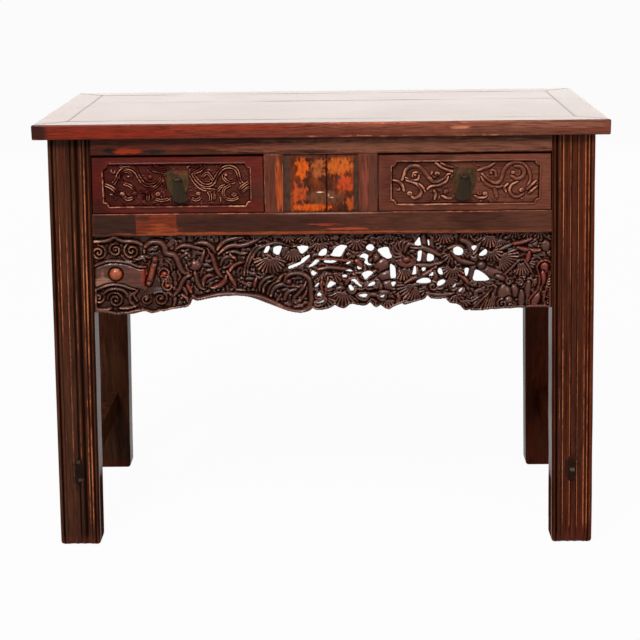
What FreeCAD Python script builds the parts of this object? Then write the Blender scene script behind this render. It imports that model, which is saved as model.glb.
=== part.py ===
import FreeCAD, Part
import math
import os

# Chinese altar table: a mitred frame-and-panel top on four splayed legs, a case
# of two drawers under it, and a carved and pierced apron along the front.
# Millimetres. X runs along the front, Y from the front to the back, Z up, and
# the origin is on the floor under the middle of the table.

V = FreeCAD.Vector

# Overall sizes
table_height = 850.0
top_length = 1068.0
top_depth = 500.0
top_thickness = 28.0
front_overhang = 16.0
leg_inset = 25.0
leg_splay = 24.0

# Joints: running gaps, fits and tenons
joint_gap = 0.1
tenon_fit = 0.2
cut_overrun = 5.0
tenon_length = 30.0
tenon_thickness = 10.0
tenon_setback = 7.0
tenon_shoulder = 5.0
stub_length = 10.0

# Top: frame members, boards and battens
end_member_width = 59.5
long_member_width = 49.0
mitre_tenon_length = 42.0
mitre_tenon_width = 18.0
mitre_tenon_thickness = 8.0
mitre_tenon_setback = 15.0
board_thickness = 14.0
board_tongue_length = 8.0
board_tongue_thickness = 6.0
board_seam_place = 68.0
board_seam_gap = 0.4
seam_tongue_length = 5.0
seam_tongue_thickness = 4.0
seam_tongue_setback = 4.0
top_edge_round = 4.0
batten_width = 36.0
batten_spacing = 260.0
batten_key_height = 3.5
batten_key_narrow = 22.0
batten_key_wide = 28.0

# Legs and their reeded fronts
leg_width = 80.0
leg_depth = 48.0
leg_arris = 3.0
foot_round = 7.0
leg_tenon_width = 30.0
leg_tenon_thickness = 12.0
leg_tenon_height = 16.0
leg_tenon_inset = 10.0
leg_tenon_setback = 10.0
edge_band_width = 6.5
groove_width = 3.0
groove_depth = 2.0
bead_width = 6.0
bead_foot_depth = 1.8
hollow_width = 11.0
hollow_depth = 2.6
inner_bead_width = 5.0
reed_facets = 5

# Rails of the drawer case
rail_depth = 30.0
top_rail_height = 33.0
drawer_opening_height = 110.5
lower_rail_height = 42.5
divider_inner = 70.5
divider_width = 35.5
rear_post_width = 40.0
side_rail_setback = 3.0
side_rail_thickness = 28.0
side_tenon_inset = 9.0
side_board_thickness = 12.0
side_board_inset = 7.0
panel_tongue_length = 6.0
panel_tongue_thickness = 6.0
panel_thickness = 12.0
panel_setback = 3.0
panel_gap = 0.4
centre_seam_place = 10.6
rear_panel_setback = 9.0

# Stretchers between the legs of each side
stretcher_height = 50.0
stretcher_thickness = 29.0
stretcher_middle = 159.0
stretcher_tenon_thickness = 18.0
stretcher_tenon_setback = 1.0

# Runners under the drawers and kickers over them
runner_width = 27.0
runner_height = 20.0
guide_width = 6.0
guide_height = 16.0
guide_gap = 0.6
runner_tenon_height = 10.0
kicker_width = 30.0
kicker_height = 22.0

# Drawers
drawer_front_thickness = 20.0
drawer_front_setback = 0.5
drawer_side_gap = 2.0
drawer_inner_gap = 2.5
drawer_top_gap = 2.4
drawer_bottom_gap = 1.5
drawer_seat_gap = 0.3
drawer_rear_gap = 46.5
drawer_side_thickness = 11.0
drawer_side_height = 96.0
drawer_side_inset = 3.0
drawer_lap = 12.0
drawer_back_thickness = 10.0
drawer_back_inset = 12.0
drawer_bottom_thickness = 7.0
drawer_bottom_lift = 8.0
drawer_groove_depth = 5.0
drawer_fit = 0.1

# Carved field on each drawer front
field_end_margin = 24.8
field_edge_margin = 15.25
field_shift = 1.7
field_drop = 1.25
field_depth = 4.0
field_corner = 9.0
field_corner_facets = 4
field_bead_width = 3.0
field_bead_rise = 1.2

# Pulls
pull_shift = 1.5
pull_pivot_rise = 10.5
plate_width = 41.0
plate_height = 50.0
plate_thickness = 1.6
plate_top_over_pivot = 17.0
plate_foot_width = 15.0
plate_waist_width = 34.0
bail_radius = 1.6
bail_width = 14.0
bail_bend = 2.0
bail_reach = 6.0
pull_bore_gap = 0.08
pull_curl_wall = 1.6
pull_neck_width = 8.4
pull_thickness = 2.4
pull_length = 43.0
pull_top_width = 17.0
pull_waist_width = 20.0
pull_bottom_width = 31.0
pull_lean = 5.0
pull_facets = 6

# Apron
apron_height = 156.0
apron_setback = 3.0
apron_thickness = 18.0
apron_tongue_length = 7.0
apron_tongue_thickness = 8.0
apron_tongue_height = 120.0
apron_tongue_setback = 7.0
lobe_steps = 3
piercing_steps = 2

# Half a turn in degrees, and the flattest arc that is still drawn as one
half_turn = 180.0
flat_arc_share = 0.001

# Places worked out from the sizes above
half_length = top_length / 2
half_depth = top_depth / 2
leg_height = table_height - top_thickness
front_y = front_overhang - half_depth
rear_y = -front_y
leg_inner_y = half_depth - front_overhang - leg_depth
opening_top = leg_height - top_rail_height
opening_bottom = opening_top - drawer_opening_height
apron_top = opening_bottom - lower_rail_height
apron_base = apron_top - apron_height
rail_back_y = front_y + rail_depth
rail_tenon_y = front_y + tenon_setback
divider_outer = divider_inner + divider_width
drawer_front_y = front_y + drawer_front_setback
field_floor_y = drawer_front_y + field_depth
drawer_rear_y = rear_y - rear_panel_setback - panel_thickness - drawer_rear_gap
panel_inner_x = half_length - end_member_width
panel_inner_y = half_depth - long_member_width

nodes = {}


def lean(z):
    """Outward lean of a leg at height z."""
    return leg_splay * (1 - z / leg_height)


def leg_outer(z):
    """Distance of a leg's outer face from the middle at height z."""
    return half_length - leg_inset + lean(z)


def leg_inner(z):
    """Distance of a leg's inner face from the middle at height z."""
    return leg_outer(z) - leg_width


# Places on the drawers, which follow the splay of the legs beside them
field_middle_z = (opening_bottom + opening_top) / 2 - field_drop
drawer_end_x = leg_inner(field_middle_z)
field_middle_x = (divider_outer + drawer_end_x) / 2 + field_shift
field_length = drawer_end_x - divider_outer - 2 * field_end_margin
field_height = drawer_opening_height - 2 * field_edge_margin
pull_x = field_middle_x - pull_shift
pull_pivot_z = field_middle_z + pull_pivot_rise


def block(x0, x1, y0, y1, z0, z1):
    """Box between two corners, given in either order."""
    low = V(min(x0, x1), min(y0, y1), min(z0, z1))
    return Part.makeBox(abs(x1 - x0), abs(y1 - y0), abs(z1 - z0), low)


def grown(bounds, by):
    """Bounds of a box grown by one clearance on every side."""
    x0, x1, y0, y1, z0, z1 = bounds
    x0, x1 = sorted((x0, x1))
    y0, y1 = sorted((y0, y1))
    z0, z1 = sorted((z0, z1))
    return (x0 - by, x1 + by, y0 - by, y1 + by, z0 - by, z1 + by)


def polygon(corners):
    """Flat face through the given corners."""
    return Part.Face(Part.makePolygon(corners + [corners[0]]))


def plate_xz(points, y0, y1):
    """Flat outline in X and Z, thickened from y0 to y1."""
    return polygon([V(x, y0, z) for x, z in points]).extrude(V(0, y1 - y0, 0))


def plate_xy(points, z0, z1):
    """Flat outline in X and Y, thickened from z0 to z1."""
    return polygon([V(x, y, z0) for x, y in points]).extrude(V(0, 0, z1 - z0))


def leaning(side, near, far, y0, y1, z0, z1):
    """Slab that leans with the legs; near and far are set in from their outer face."""
    points = [
        (side * (leg_outer(z0) - near), z0),
        (side * (leg_outer(z0) - far), z0),
        (side * (leg_outer(z1) - far), z1),
        (side * (leg_outer(z1) - near), z1),
    ]
    return plate_xz(points, y0, y1)


def leaning_grown(side, near, far, y0, y1, z0, z1, by):
    """The same slab grown by one clearance."""
    y0, y1 = sorted((y0, y1))
    return leaning(side, near - by, far + by, y0 - by, y1 + by, z0 - by, z1 + by)


def arc_through(a, middle, b, steps):
    """Points along the arc from a to b through its middle, in the plan, a left out."""
    across = (middle[0] - a[0]) * (b[1] - a[1]) - (middle[1] - a[1]) * (b[0] - a[0])
    if abs(across) < flat_arc_share * math.dist(a, b) ** 2:
        return [b]
    start, through, end = [V(place[0], place[1], 0) for place in (a, middle, b)]
    curve = Part.Arc(start, through, end)
    step = (curve.LastParameter - curve.FirstParameter) / steps
    spots = [curve.value(curve.FirstParameter + step * (i + 1)) for i in range(steps)]
    return [(place.x, place.y) for place in spots]


def smooth(points, steps, closed):
    """Points on a smooth curve through the given ones, with a few steps to each span."""
    count = len(points)
    result = []
    for i in range(count if closed else count - 1):
        if closed:
            p0, p1, p2, p3 = [points[(i + k) % count] for k in (-1, 0, 1, 2)]
        else:
            p0, p1, p2, p3 = [points[min(max(i + k, 0), count - 1)] for k in (-1, 0, 1, 2)]
        for step in range(steps):
            t = step / steps
            w0 = (-t + 2 * t ** 2 - t ** 3) / 2
            w1 = (2 - 5 * t ** 2 + 3 * t ** 3) / 2
            w2 = (t + 4 * t ** 2 - 3 * t ** 3) / 2
            w3 = (t ** 3 - t ** 2) / 2
            result.append(tuple(a * w0 + b * w1 + c * w2 + d * w3 for a, b, c, d in zip(p0, p1, p2, p3)))
    return result if closed else result + [points[-1]]


def joined(shape, others):
    """Fuse pieces of one solid and tidy the seams."""
    return shape.fuse(list(others)).removeSplitter()


def mirrored(shape, side):
    """The same piece on the left, or its mirror image on the right."""
    if side < 0:
        return shape
    return shape.mirror(V(0, 0, 0), V(1, 0, 0))


def sided(side):
    return "left" if side < 0 else "right"


def placed(y_side):
    return "front" if y_side < 0 else "rear"


# Tenons shared by the pieces that meet


def rail_tenon(side, y_side, z0, z1):
    """Tenon of a long rail, entering a leg along X."""
    shoulder_x = leg_inner(z0) - cut_overrun
    tip_x = leg_inner(z0) + tenon_length
    near = y_side * -rail_tenon_y
    far = near - y_side * tenon_thickness
    return (side * shoulder_x, side * tip_x, near, far, z0 + tenon_shoulder, z1 - tenon_shoulder)


def side_tenon(side, y_side, z0, z1, by):
    """Tenon of a side rail, entering a leg along Y, as a leaning slab."""
    near = side_rail_setback + side_tenon_inset
    y0 = y_side * (leg_inner_y - cut_overrun)
    y1 = y_side * (leg_inner_y + tenon_length - tenon_shoulder)
    low = z0 + tenon_shoulder
    high = z1 - tenon_shoulder
    return leaning_grown(side, near, near + tenon_thickness, y0, y1, low, high, by)


def stretcher_tenon(side, y_side, by):
    """Through tenon of a side stretcher."""
    near = (leg_width - stretcher_tenon_thickness) / 2
    y0 = y_side * (leg_inner_y - cut_overrun)
    y1 = y_side * (rear_y - stretcher_tenon_setback)
    low = stretcher_middle - stretcher_height / 2
    high = low + stretcher_height
    return leaning_grown(side, near, near + stretcher_tenon_thickness, y0, y1, low, high, by)


def leg_tenon(side, y_side):
    """Tenon on top of a leg, entering a long member of the top."""
    x0 = leg_inner(leg_height) + leg_tenon_inset
    y0 = rear_y - leg_tenon_setback
    y1 = y0 - leg_tenon_thickness
    z1 = leg_height + leg_tenon_height
    z0 = leg_height - cut_overrun
    return (side * x0, side * (x0 + leg_tenon_width), y_side * y0, y_side * y1, z0, z1)


def side_board(side, by):
    """Board that closes a side of the case, with its edges in grooves."""
    near = side_board_inset
    far = near + side_board_thickness
    y1 = leg_inner_y + panel_tongue_length
    low = opening_bottom - panel_tongue_length
    high = opening_top + panel_tongue_length
    return leaning_grown(side, near, far, -y1, y1, low, high, by)


def apron_tongue(by):
    """Tongue along the apron's top and ends."""
    y0 = front_y + apron_setback + apron_tongue_setback
    y1 = y0 + apron_tongue_thickness
    low = apron_top - apron_tongue_height - by
    high = apron_top + apron_tongue_length + by
    reach = apron_tongue_length + by
    points = [
        (-leg_inner(low) - reach, low),
        (leg_inner(low) + reach, low),
        (leg_inner(high) + reach, high),
        (-leg_inner(high) - reach, high),
    ]
    return plate_xz(points, y0 - by, y1 + by)


def centre_tongue(by):
    """Tongue round the panel between the drawers."""
    y0 = front_y + panel_setback + (panel_thickness - panel_tongue_thickness) / 2
    half = divider_inner + panel_tongue_length
    low = opening_bottom - panel_tongue_length
    high = opening_top + panel_tongue_length
    return block(*grown((-half, half, y0, y0 + panel_tongue_thickness, low, high), by))


def rear_tongue(side, by):
    """Tongue round a board at the back of the case."""
    y1 = rear_y - rear_panel_setback - (panel_thickness - panel_tongue_thickness) / 2
    x0 = side * (rear_post_width / 2 - panel_tongue_length)
    x1 = side * (leg_inner(opening_bottom) + panel_tongue_length)
    low = opening_bottom - panel_tongue_length
    high = opening_top + panel_tongue_length
    return block(*grown((x0, x1, y1 - panel_tongue_thickness, y1, low, high), by))


def panel_grooves(y_side):
    """Tongues of the panels that stand between the long rails, grown for their grooves."""
    if y_side < 0:
        return [centre_tongue(tenon_fit)]
    return [rear_tongue(side, tenon_fit) for side in (-1, 1)]


def post_tenon(x0, x1, y_side, z_edge, way):
    """Short tenon on an end of an upright post."""
    y0 = y_side * -rail_tenon_y
    y1 = y0 - y_side * tenon_thickness
    z0 = z_edge - way * cut_overrun
    z1 = z_edge + way * stub_length
    return (x0 + tenon_shoulder, x1 - tenon_shoulder, y0, y1, z0, z1)


def bar_tenon(x0, x1, y_side, z0, z1):
    """Short tenon of a bar that runs from the front rail to the rear one."""
    y0 = y_side * (-rail_back_y - cut_overrun)
    y1 = y_side * (-rail_back_y + stub_length)
    return (x0 + tenon_shoulder, x1 - tenon_shoulder, y0, y1, z0, z1)


# Top of the table


def board_tongue_bounds():
    """Outer bounds of the tongue round the top's boards."""
    x1 = panel_inner_x + board_tongue_length
    y1 = panel_inner_y + board_tongue_length
    z0 = table_height - board_thickness
    return (-x1, x1, -y1, y1, z0, z0 + board_tongue_thickness)


def mitre_tenon(side, y_side):
    """Tenon of a long member, entering an end member past the mitre."""
    x1 = half_length - end_member_width + mitre_tenon_length
    x0 = x1 - mitre_tenon_length - cut_overrun
    y0 = half_depth - mitre_tenon_setback
    y1 = y0 - mitre_tenon_width
    z0 = leg_height + (top_thickness - mitre_tenon_thickness) / 2 - tenon_shoulder
    z1 = z0 + mitre_tenon_thickness
    return (side * x0, side * x1, y_side * y0, y_side * y1, z0, z1)


def batten_places():
    return (-batten_spacing, 0, batten_spacing)


def batten_tenon(x, y_side):
    """Short tenon of a batten, entering a long member."""
    half = batten_width / 2 - tenon_shoulder
    y0 = y_side * (panel_inner_y - cut_overrun)
    y1 = y_side * (panel_inner_y + stub_length)
    z1 = table_height - board_thickness - tenon_shoulder
    return (x - half, x + half, y0, y1, leg_height, z1)


def top_member(points, outer_edge):
    """Mitred blank of the top's frame, with the arrises of its outer edge rounded."""
    blank = plate_xy(points, leg_height, table_height)
    level = [edge for edge in blank.Edges if edge.BoundBox.ZLength < top_edge_round]
    arrises = [edge for edge in level if outer_edge(edge.CenterOfMass)]
    return blank.makeFillet(top_edge_round, arrises)


def long_member(y_side):
    """Front or rear member of the top's frame, mitred at both ends."""
    outer_x = half_length - joint_gap
    inner_x = panel_inner_x - joint_gap
    points = [
        (-outer_x, y_side * half_depth),
        (outer_x, y_side * half_depth),
        (inner_x, y_side * panel_inner_y),
        (-inner_x, y_side * panel_inner_y),
    ]
    shape = top_member(points, lambda place: abs(place.y) > half_depth - joint_gap)
    shape = joined(shape, [block(*mitre_tenon(side, y_side)) for side in (-1, 1)])
    shape = shape.cut(block(*grown(board_tongue_bounds(), tenon_fit)))
    for side in (-1, 1):
        shape = shape.cut(block(*grown(leg_tenon(side, y_side), tenon_fit)))
    for x in batten_places():
        shape = shape.cut(block(*grown(batten_tenon(x, y_side), tenon_fit)))
    return shape


def end_member(side):
    """Left or right member of the top's frame."""
    points = [
        (-half_length, -half_depth),
        (-half_length, half_depth),
        (-panel_inner_x, panel_inner_y),
        (-panel_inner_x, -panel_inner_y),
    ]
    shape = top_member(points, lambda place: abs(place.x) > half_length - joint_gap)
    shape = shape.cut(block(*grown(board_tongue_bounds(), tenon_fit)))
    for y_side in (-1, 1):
        shape = shape.cut(block(*grown(mitre_tenon(-1, y_side), tenon_fit)))
        shape = shape.cut(block(*grown(leg_tenon(-1, y_side), tenon_fit)))
    if side > 0:
        shape.rotate(V(0, 0, 0), V(0, 0, 1), half_turn)
    return shape


def seam_tongue(by):
    """Tongue of the front board, entering the rear board."""
    z1 = table_height - seam_tongue_setback
    x1 = panel_inner_x + board_tongue_length
    y0 = board_seam_place - cut_overrun
    y1 = board_seam_place + seam_tongue_length
    return block(*grown((-x1, x1, y0, y1, z1 - seam_tongue_thickness, z1), by))


def batten_key(x, by):
    """Dovetail key along a batten, held in the underside of the boards."""
    z0 = table_height - board_thickness - joint_gap
    y1 = panel_inner_y + board_tongue_length
    points = [
        (x - batten_key_narrow / 2 - by, z0 - by),
        (x + batten_key_narrow / 2 + by, z0 - by),
        (x + batten_key_wide / 2 + by, z0 + batten_key_height + joint_gap + by),
        (x - batten_key_wide / 2 - by, z0 + batten_key_height + joint_gap + by),
    ]
    return plate_xz(points, -y1, y1)


def top_board(rear):
    """One of the two boards that fill the top's frame."""
    z0 = table_height - board_thickness
    x1 = panel_inner_x - board_seam_gap
    y_edge = panel_inner_y - board_seam_gap
    tongue = board_tongue_bounds()
    seam_y = board_seam_place
    if rear:
        seam_y = board_seam_place + board_seam_gap
        shape = block(-x1, x1, seam_y, y_edge, z0, table_height)
        edge = block(tongue[0], tongue[1], seam_y, tongue[3], tongue[4], tongue[5])
        shape = joined(shape, [edge]).cut(seam_tongue(tenon_fit))
    else:
        shape = block(-x1, x1, -y_edge, seam_y, z0, table_height)
        edge = block(tongue[0], tongue[1], tongue[2], seam_y, tongue[4], tongue[5])
        lip = seam_tongue(0).common(block(-x1, x1, -y_edge, rear_y, z0, table_height))
        shape = joined(shape, [edge, lip])
    for x in batten_places():
        shape = shape.cut(batten_key(x, tenon_fit))
    return shape


def top_batten(x):
    """Batten across the underside of the boards."""
    y1 = panel_inner_y - joint_gap
    z1 = table_height - board_thickness - joint_gap
    body = block(x - batten_width / 2, x + batten_width / 2, -y1, y1, leg_height, z1)
    between = block(x - batten_width, x + batten_width, -y1, y1, leg_height, table_height)
    key = batten_key(x, 0).common(between)
    tenons = [block(*batten_tenon(x, y_side)) for y_side in (-1, 1)]
    return joined(body, [key] + tenons)


# Legs


def reed_steps():
    """Widths and middle depths of the front moulding, from one edge to the other."""
    outer = [(edge_band_width, 0), (groove_width, groove_depth), (bead_width, 0)]
    inner = [(inner_bead_width, 0)]
    used = hollow_width + 2 * sum(width for width, middle in outer + inner)
    half = outer + [((leg_width - used) / 2, hollow_depth)] + inner
    return half + [(hollow_width, hollow_depth)] + half[::-1]


def reeded_section():
    """Plan of a front leg at the floor, with its reeded face."""
    steps = reed_steps()
    points = [(0, 0)]
    x = 0
    for index, (width, middle) in enumerate(steps):
        start = points[-1]
        if index in (0, len(steps) - 1, len(steps) - 2):
            end = (x + width, 0)
        else:
            end = (x + width, bead_foot_depth)
        x = x + width
        if index in (0, len(steps) - 1):
            points.append(end)
        else:
            points += arc_through(start, ((start[0] + end[0]) / 2, middle), end, reed_facets)
    points += [(leg_width, leg_depth - leg_arris), (leg_width - leg_arris, leg_depth)]
    points += [(leg_arris, leg_depth), (0, leg_depth - leg_arris)]
    return polygon([V(x, y, 0) for x, y in points])


def plain_section():
    """Plan of a rear leg, with softened corners."""
    a = leg_arris
    points = [(a, 0), (leg_width - a, 0), (leg_width, a), (leg_width, leg_depth - a)]
    points += [(leg_width - a, leg_depth), (a, leg_depth), (0, leg_depth - a), (0, a)]
    return polygon([V(x, y, 0) for x, y in points])


def foot_mask(side):
    """Leaning outline of a leg with rounded lower corners."""
    nook = foot_round * (1 - math.sqrt(1 / 2))
    edges = []
    ends = []
    for face_x, way in ((leg_outer, -1), (leg_inner, 1)):
        high = V(side * face_x(leg_height), 0, leg_height)
        above = V(side * face_x(foot_round), 0, foot_round)
        corner = V(side * (face_x(nook) + way * nook), 0, nook)
        below = V(side * (face_x(0) + way * foot_round), 0, 0)
        edges.append(Part.makeLine(high, above))
        edges.append(Part.Arc(above, corner, below).toShape())
        ends.append((high, below))
    edges.append(Part.makeLine(ends[0][0], ends[1][0]))
    edges.append(Part.makeLine(ends[0][1], ends[1][1]))
    solid = Part.Face(Part.Wire(Part.__sortEdges__(edges))).extrude(V(0, top_depth, 0))
    solid.translate(V(0, -half_depth, 0))
    return solid


def leg(side, y_side):
    """Splayed leg with its mortises and grooves."""
    if y_side < 0:
        section = reeded_section()
    else:
        section = plain_section()
    section.translate(V(side * leg_outer(0) - (leg_width if side > 0 else 0), front_y, 0))
    if y_side > 0:
        section.translate(V(0, rear_y - leg_depth - front_y, 0))
    shape = section.extrude(V(-side * leg_splay, 0, leg_height))
    shape = shape.common(foot_mask(side))
    shape = joined(shape, [block(*leg_tenon(side, y_side))])
    for z0, z1 in ((opening_top, leg_height), (apron_top, opening_bottom)):
        shape = shape.cut(block(*grown(rail_tenon(side, y_side, z0, z1), tenon_fit)))
        shape = shape.cut(side_tenon(side, y_side, z0, z1, tenon_fit))
    shape = shape.cut(stretcher_tenon(side, y_side, tenon_fit))
    through = block(
        side * leg_inner(0),
        side * leg_outer(0),
        y_side * (rear_y - stretcher_tenon_setback),
        y_side * (rear_y + cut_overrun),
        stretcher_middle - stretcher_height / 2 - tenon_fit,
        stretcher_middle + stretcher_height / 2 + tenon_fit,
    )
    open_end = stretcher_tenon(side, y_side, tenon_fit + 2 * stretcher_tenon_setback)
    shape = shape.cut(through.common(open_end))
    shape = shape.cut(side_board(side, tenon_fit))
    if y_side < 0:
        shape = shape.cut(apron_tongue(tenon_fit))
    else:
        shape = shape.cut(rear_tongue(side, tenon_fit))
    return shape


# Case: rails, posts and boards


def runner_places(side):
    """Bounds in X of the outer and inner runner of one drawer, with its guide."""
    outer_face = drawer_outer_x()
    inner_face = drawer_inner_x()
    outer_guide = (outer_face + guide_gap, outer_face + guide_gap + guide_width)
    inner_guide = (inner_face - guide_gap - guide_width, inner_face - guide_gap)
    return {
        "outer": (outer_guide[1] - runner_width, outer_guide[1], outer_guide),
        "inner": (inner_guide[0], inner_guide[0] + runner_width, inner_guide),
    }


def drawer_outer_x():
    """Outer face of a drawer's box, clear of the leg over the whole travel."""
    return leg_inner(leg_height) - drawer_side_gap - drawer_side_inset


def drawer_inner_x():
    """Inner face of a drawer's box, beside the divider."""
    return divider_outer + drawer_inner_gap


def runner_tenon(low, high, side, y_side):
    x0, x1 = sorted((side * low, side * high))
    z1 = opening_bottom - tenon_shoulder
    return bar_tenon(x0, x1, y_side, z1 - runner_tenon_height, z1)


def kicker_tenon(side, y_side):
    x0 = side * field_middle_x - kicker_width / 2
    z0 = opening_top + tenon_shoulder
    return bar_tenon(x0, x0 + kicker_width, y_side, z0, opening_top + kicker_height - tenon_shoulder)


def long_rail(y_side, z0, z1):
    """Rail from leg to leg, with shoulders cut to the legs' splay."""
    a = leg_inner(z0) - joint_gap
    b = leg_inner(z1) - joint_gap
    y0 = y_side * rear_y
    y1 = y_side * (rear_y - rail_depth)
    shape = plate_xz([(-a, z0), (a, z0), (b, z1), (-b, z1)], y0, y1)
    return joined(shape, [block(*rail_tenon(side, y_side, z0, z1)) for side in (-1, 1)])


def post_bounds(y_side):
    """X bounds of the posts that stand on a lower rail."""
    if y_side < 0:
        return [(-divider_outer, -divider_inner), (divider_inner, divider_outer)]
    return [(-rear_post_width / 2, rear_post_width / 2)]


def top_rail(y_side):
    shape = long_rail(y_side, opening_top, leg_height)
    for x0, x1 in post_bounds(y_side):
        shape = shape.cut(block(*grown(post_tenon(x0, x1, y_side, opening_top, 1), tenon_fit)))
    for side in (-1, 1):
        shape = shape.cut(block(*grown(kicker_tenon(side, y_side), tenon_fit)))
    return shape.cut(panel_grooves(y_side))


def lower_rail(y_side):
    shape = long_rail(y_side, apron_top, opening_bottom)
    for x0, x1 in post_bounds(y_side):
        shape = shape.cut(block(*grown(post_tenon(x0, x1, y_side, opening_bottom, -1), tenon_fit)))
    for side in (-1, 1):
        for low, high, guide in runner_places(side).values():
            shape = shape.cut(block(*grown(runner_tenon(low, high, side, y_side), tenon_fit)))
    shape = shape.cut(panel_grooves(y_side))
    if y_side < 0:
        shape = shape.cut(apron_tongue(tenon_fit))
    return shape


def post(x0, x1, y_side):
    """Upright post between the two long rails."""
    y0 = y_side * rear_y
    y1 = y_side * (rear_y - rail_depth)
    shape = block(x0, x1, y0, y1, opening_bottom + joint_gap, opening_top - joint_gap)
    top = block(*post_tenon(x0, x1, y_side, opening_top, 1))
    bottom = block(*post_tenon(x0, x1, y_side, opening_bottom, -1))
    shape = joined(shape, [top, bottom])
    return shape.cut(panel_grooves(y_side))


def centre_board(left):
    """Half of the panel between the drawers."""
    y0 = front_y + panel_setback
    half = divider_inner - panel_gap
    x0, x1 = (-half, centre_seam_place) if left else (centre_seam_place + panel_gap, half)
    low = opening_bottom + panel_gap
    high = opening_top - panel_gap
    body = block(x0, x1, y0, y0 + panel_thickness, low, high)
    reach = divider_inner + panel_tongue_length
    cut_x = (-reach, centre_seam_place) if left else (centre_seam_place + panel_gap, reach)
    keep = block(cut_x[0], cut_x[1], front_y, 0, opening_bottom - rail_depth, leg_height)
    return joined(body, [centre_tongue(0).common(keep)])


def rear_board(side):
    """Board in a bay of the back."""
    y1 = rear_y - rear_panel_setback
    x0 = rear_post_width / 2 + panel_gap
    low = opening_bottom + panel_gap
    high = opening_top - panel_gap
    points = [
        (side * x0, low),
        (side * (leg_inner(low) - panel_gap), low),
        (side * (leg_inner(high) - panel_gap), high),
        (side * x0, high),
    ]
    body = plate_xz(points, y1 - panel_thickness, y1)
    return joined(body, [rear_tongue(side, 0)])


def side_rail(side, z0, z1):
    """Rail from the front leg to the rear one, leaning with them."""
    far = side_rail_setback + side_rail_thickness
    y1 = leg_inner_y - joint_gap
    shape = leaning(side, side_rail_setback, far, -y1, y1, z0, z1)
    shape = joined(shape, [side_tenon(side, y_side, z0, z1, 0) for y_side in (-1, 1)])
    return shape.cut(side_board(side, tenon_fit))


def side_stretcher(side):
    """Stretcher between the legs of one side, with through tenons."""
    near = (leg_width - stretcher_thickness) / 2
    y1 = leg_inner_y - joint_gap
    low = stretcher_middle - stretcher_height / 2
    shape = leaning(side, near, near + stretcher_thickness, -y1, y1, low, low + stretcher_height)
    return joined(shape, [stretcher_tenon(side, y_side, 0) for y_side in (-1, 1)])


def drawer_runner(side, low, high, guide):
    """Runner from the front rail to the rear one, with the guide for the drawer's side."""
    x0, x1 = sorted((side * low, side * high))
    y1 = -rail_back_y - joint_gap
    bar = block(x0, x1, -y1, y1, opening_bottom - runner_height, opening_bottom)
    rail = block(side * guide[0], side * guide[1], -y1, y1, opening_bottom, opening_bottom + guide_height)
    tenons = [block(*runner_tenon(low, high, side, y_side)) for y_side in (-1, 1)]
    return joined(bar, [rail] + tenons)


def drawer_kicker(side):
    """Bar over a drawer that keeps it level when it is pulled out."""
    x0 = side * field_middle_x - kicker_width / 2
    y1 = -rail_back_y - joint_gap
    bar = block(x0, x0 + kicker_width, -y1, y1, opening_top, opening_top + kicker_height)
    return joined(bar, [block(*kicker_tenon(side, y_side)) for y_side in (-1, 1)])


# Drawers


def drawer_z():
    """Bottom and top of a drawer front."""
    return opening_bottom + drawer_bottom_gap, opening_top - drawer_top_gap


def box_floor():
    """Lower edge of a drawer's sides, just over the runners."""
    return opening_bottom + drawer_seat_gap


def drawer_bottom_bounds():
    x0 = drawer_inner_x() + drawer_side_thickness - drawer_groove_depth
    x1 = drawer_outer_x() - drawer_side_thickness + drawer_groove_depth
    z0 = box_floor() + drawer_bottom_lift
    y0 = drawer_front_y + drawer_front_thickness - drawer_groove_depth
    y1 = drawer_rear_y
    return (x0, x1, y0, y1, z0, z0 + drawer_bottom_thickness)


def side_block(inner):
    """Bounds of a drawer's side."""
    x0 = drawer_inner_x() if inner else drawer_outer_x() - drawer_side_thickness
    y0 = drawer_front_y + drawer_front_thickness - drawer_lap
    y1 = drawer_rear_y
    z0 = box_floor()
    return (x0, x0 + drawer_side_thickness, y0, y1, z0, z0 + drawer_side_height)


def field_face(side, grow):
    """Face of a carved field with indented corners, grown by a margin."""
    a = field_length / 2 + grow
    b = field_height / 2 + grow
    r = field_corner
    nook = r * math.sqrt(1 / 2)
    points = []
    for sx, sz in ((1, 1), (1, -1), (-1, -1), (-1, 1)):
        along_x = (sx * (a - r), sz * b)
        along_z = (sx * a, sz * (b - r))
        ends = (along_x, along_z) if sx == sz else (along_z, along_x)
        middle = (sx * (a - nook), sz * (b - nook))
        points.append(ends[0])
        points += arc_through(ends[0], middle, ends[1], field_corner_facets)
    x = side * field_middle_x
    y = front_y - cut_overrun
    return polygon([V(x + px, y, field_middle_z + pz) for px, pz in points])


def drawer_front(side):
    """Drawer front, following the leg's lean at its outer end, with its carved field."""
    low, high = drawer_z()
    y0 = drawer_front_y
    inner = divider_outer + drawer_side_gap
    points = [
        (side * inner, low),
        (side * (leg_inner(low) - drawer_side_gap), low),
        (side * (leg_inner(high) - drawer_side_gap), high),
        (side * inner, high),
    ]
    shape = plate_xz(points, y0, y0 + drawer_front_thickness)
    to_face = cut_overrun + drawer_front_setback
    field = field_face(side, 0).extrude(V(0, to_face + field_depth, 0))
    bead = field_face(side, field_bead_width).extrude(V(0, field_depth, 0))
    bead.translate(V(0, to_face - field_bead_rise, 0))
    shape = joined(shape, [bead]).cut(field)
    for is_inner in (True, False):
        x0, x1, y_a, y_b, z_a, z_b = side_block(is_inner)
        lap = (side * x0, side * x1, y_a, y_b, z_a - cut_overrun, z_b)
        shape = shape.cut(block(*grown(lap, drawer_fit)))
    x0, x1, y_a, y_b, z_a, z_b = drawer_bottom_bounds()
    shape = shape.cut(block(*grown((side * x0, side * x1, y_a, y_b, z_a, z_b), drawer_fit)))
    return shape.cut(staple(side, tenon_fit / 2))


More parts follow.
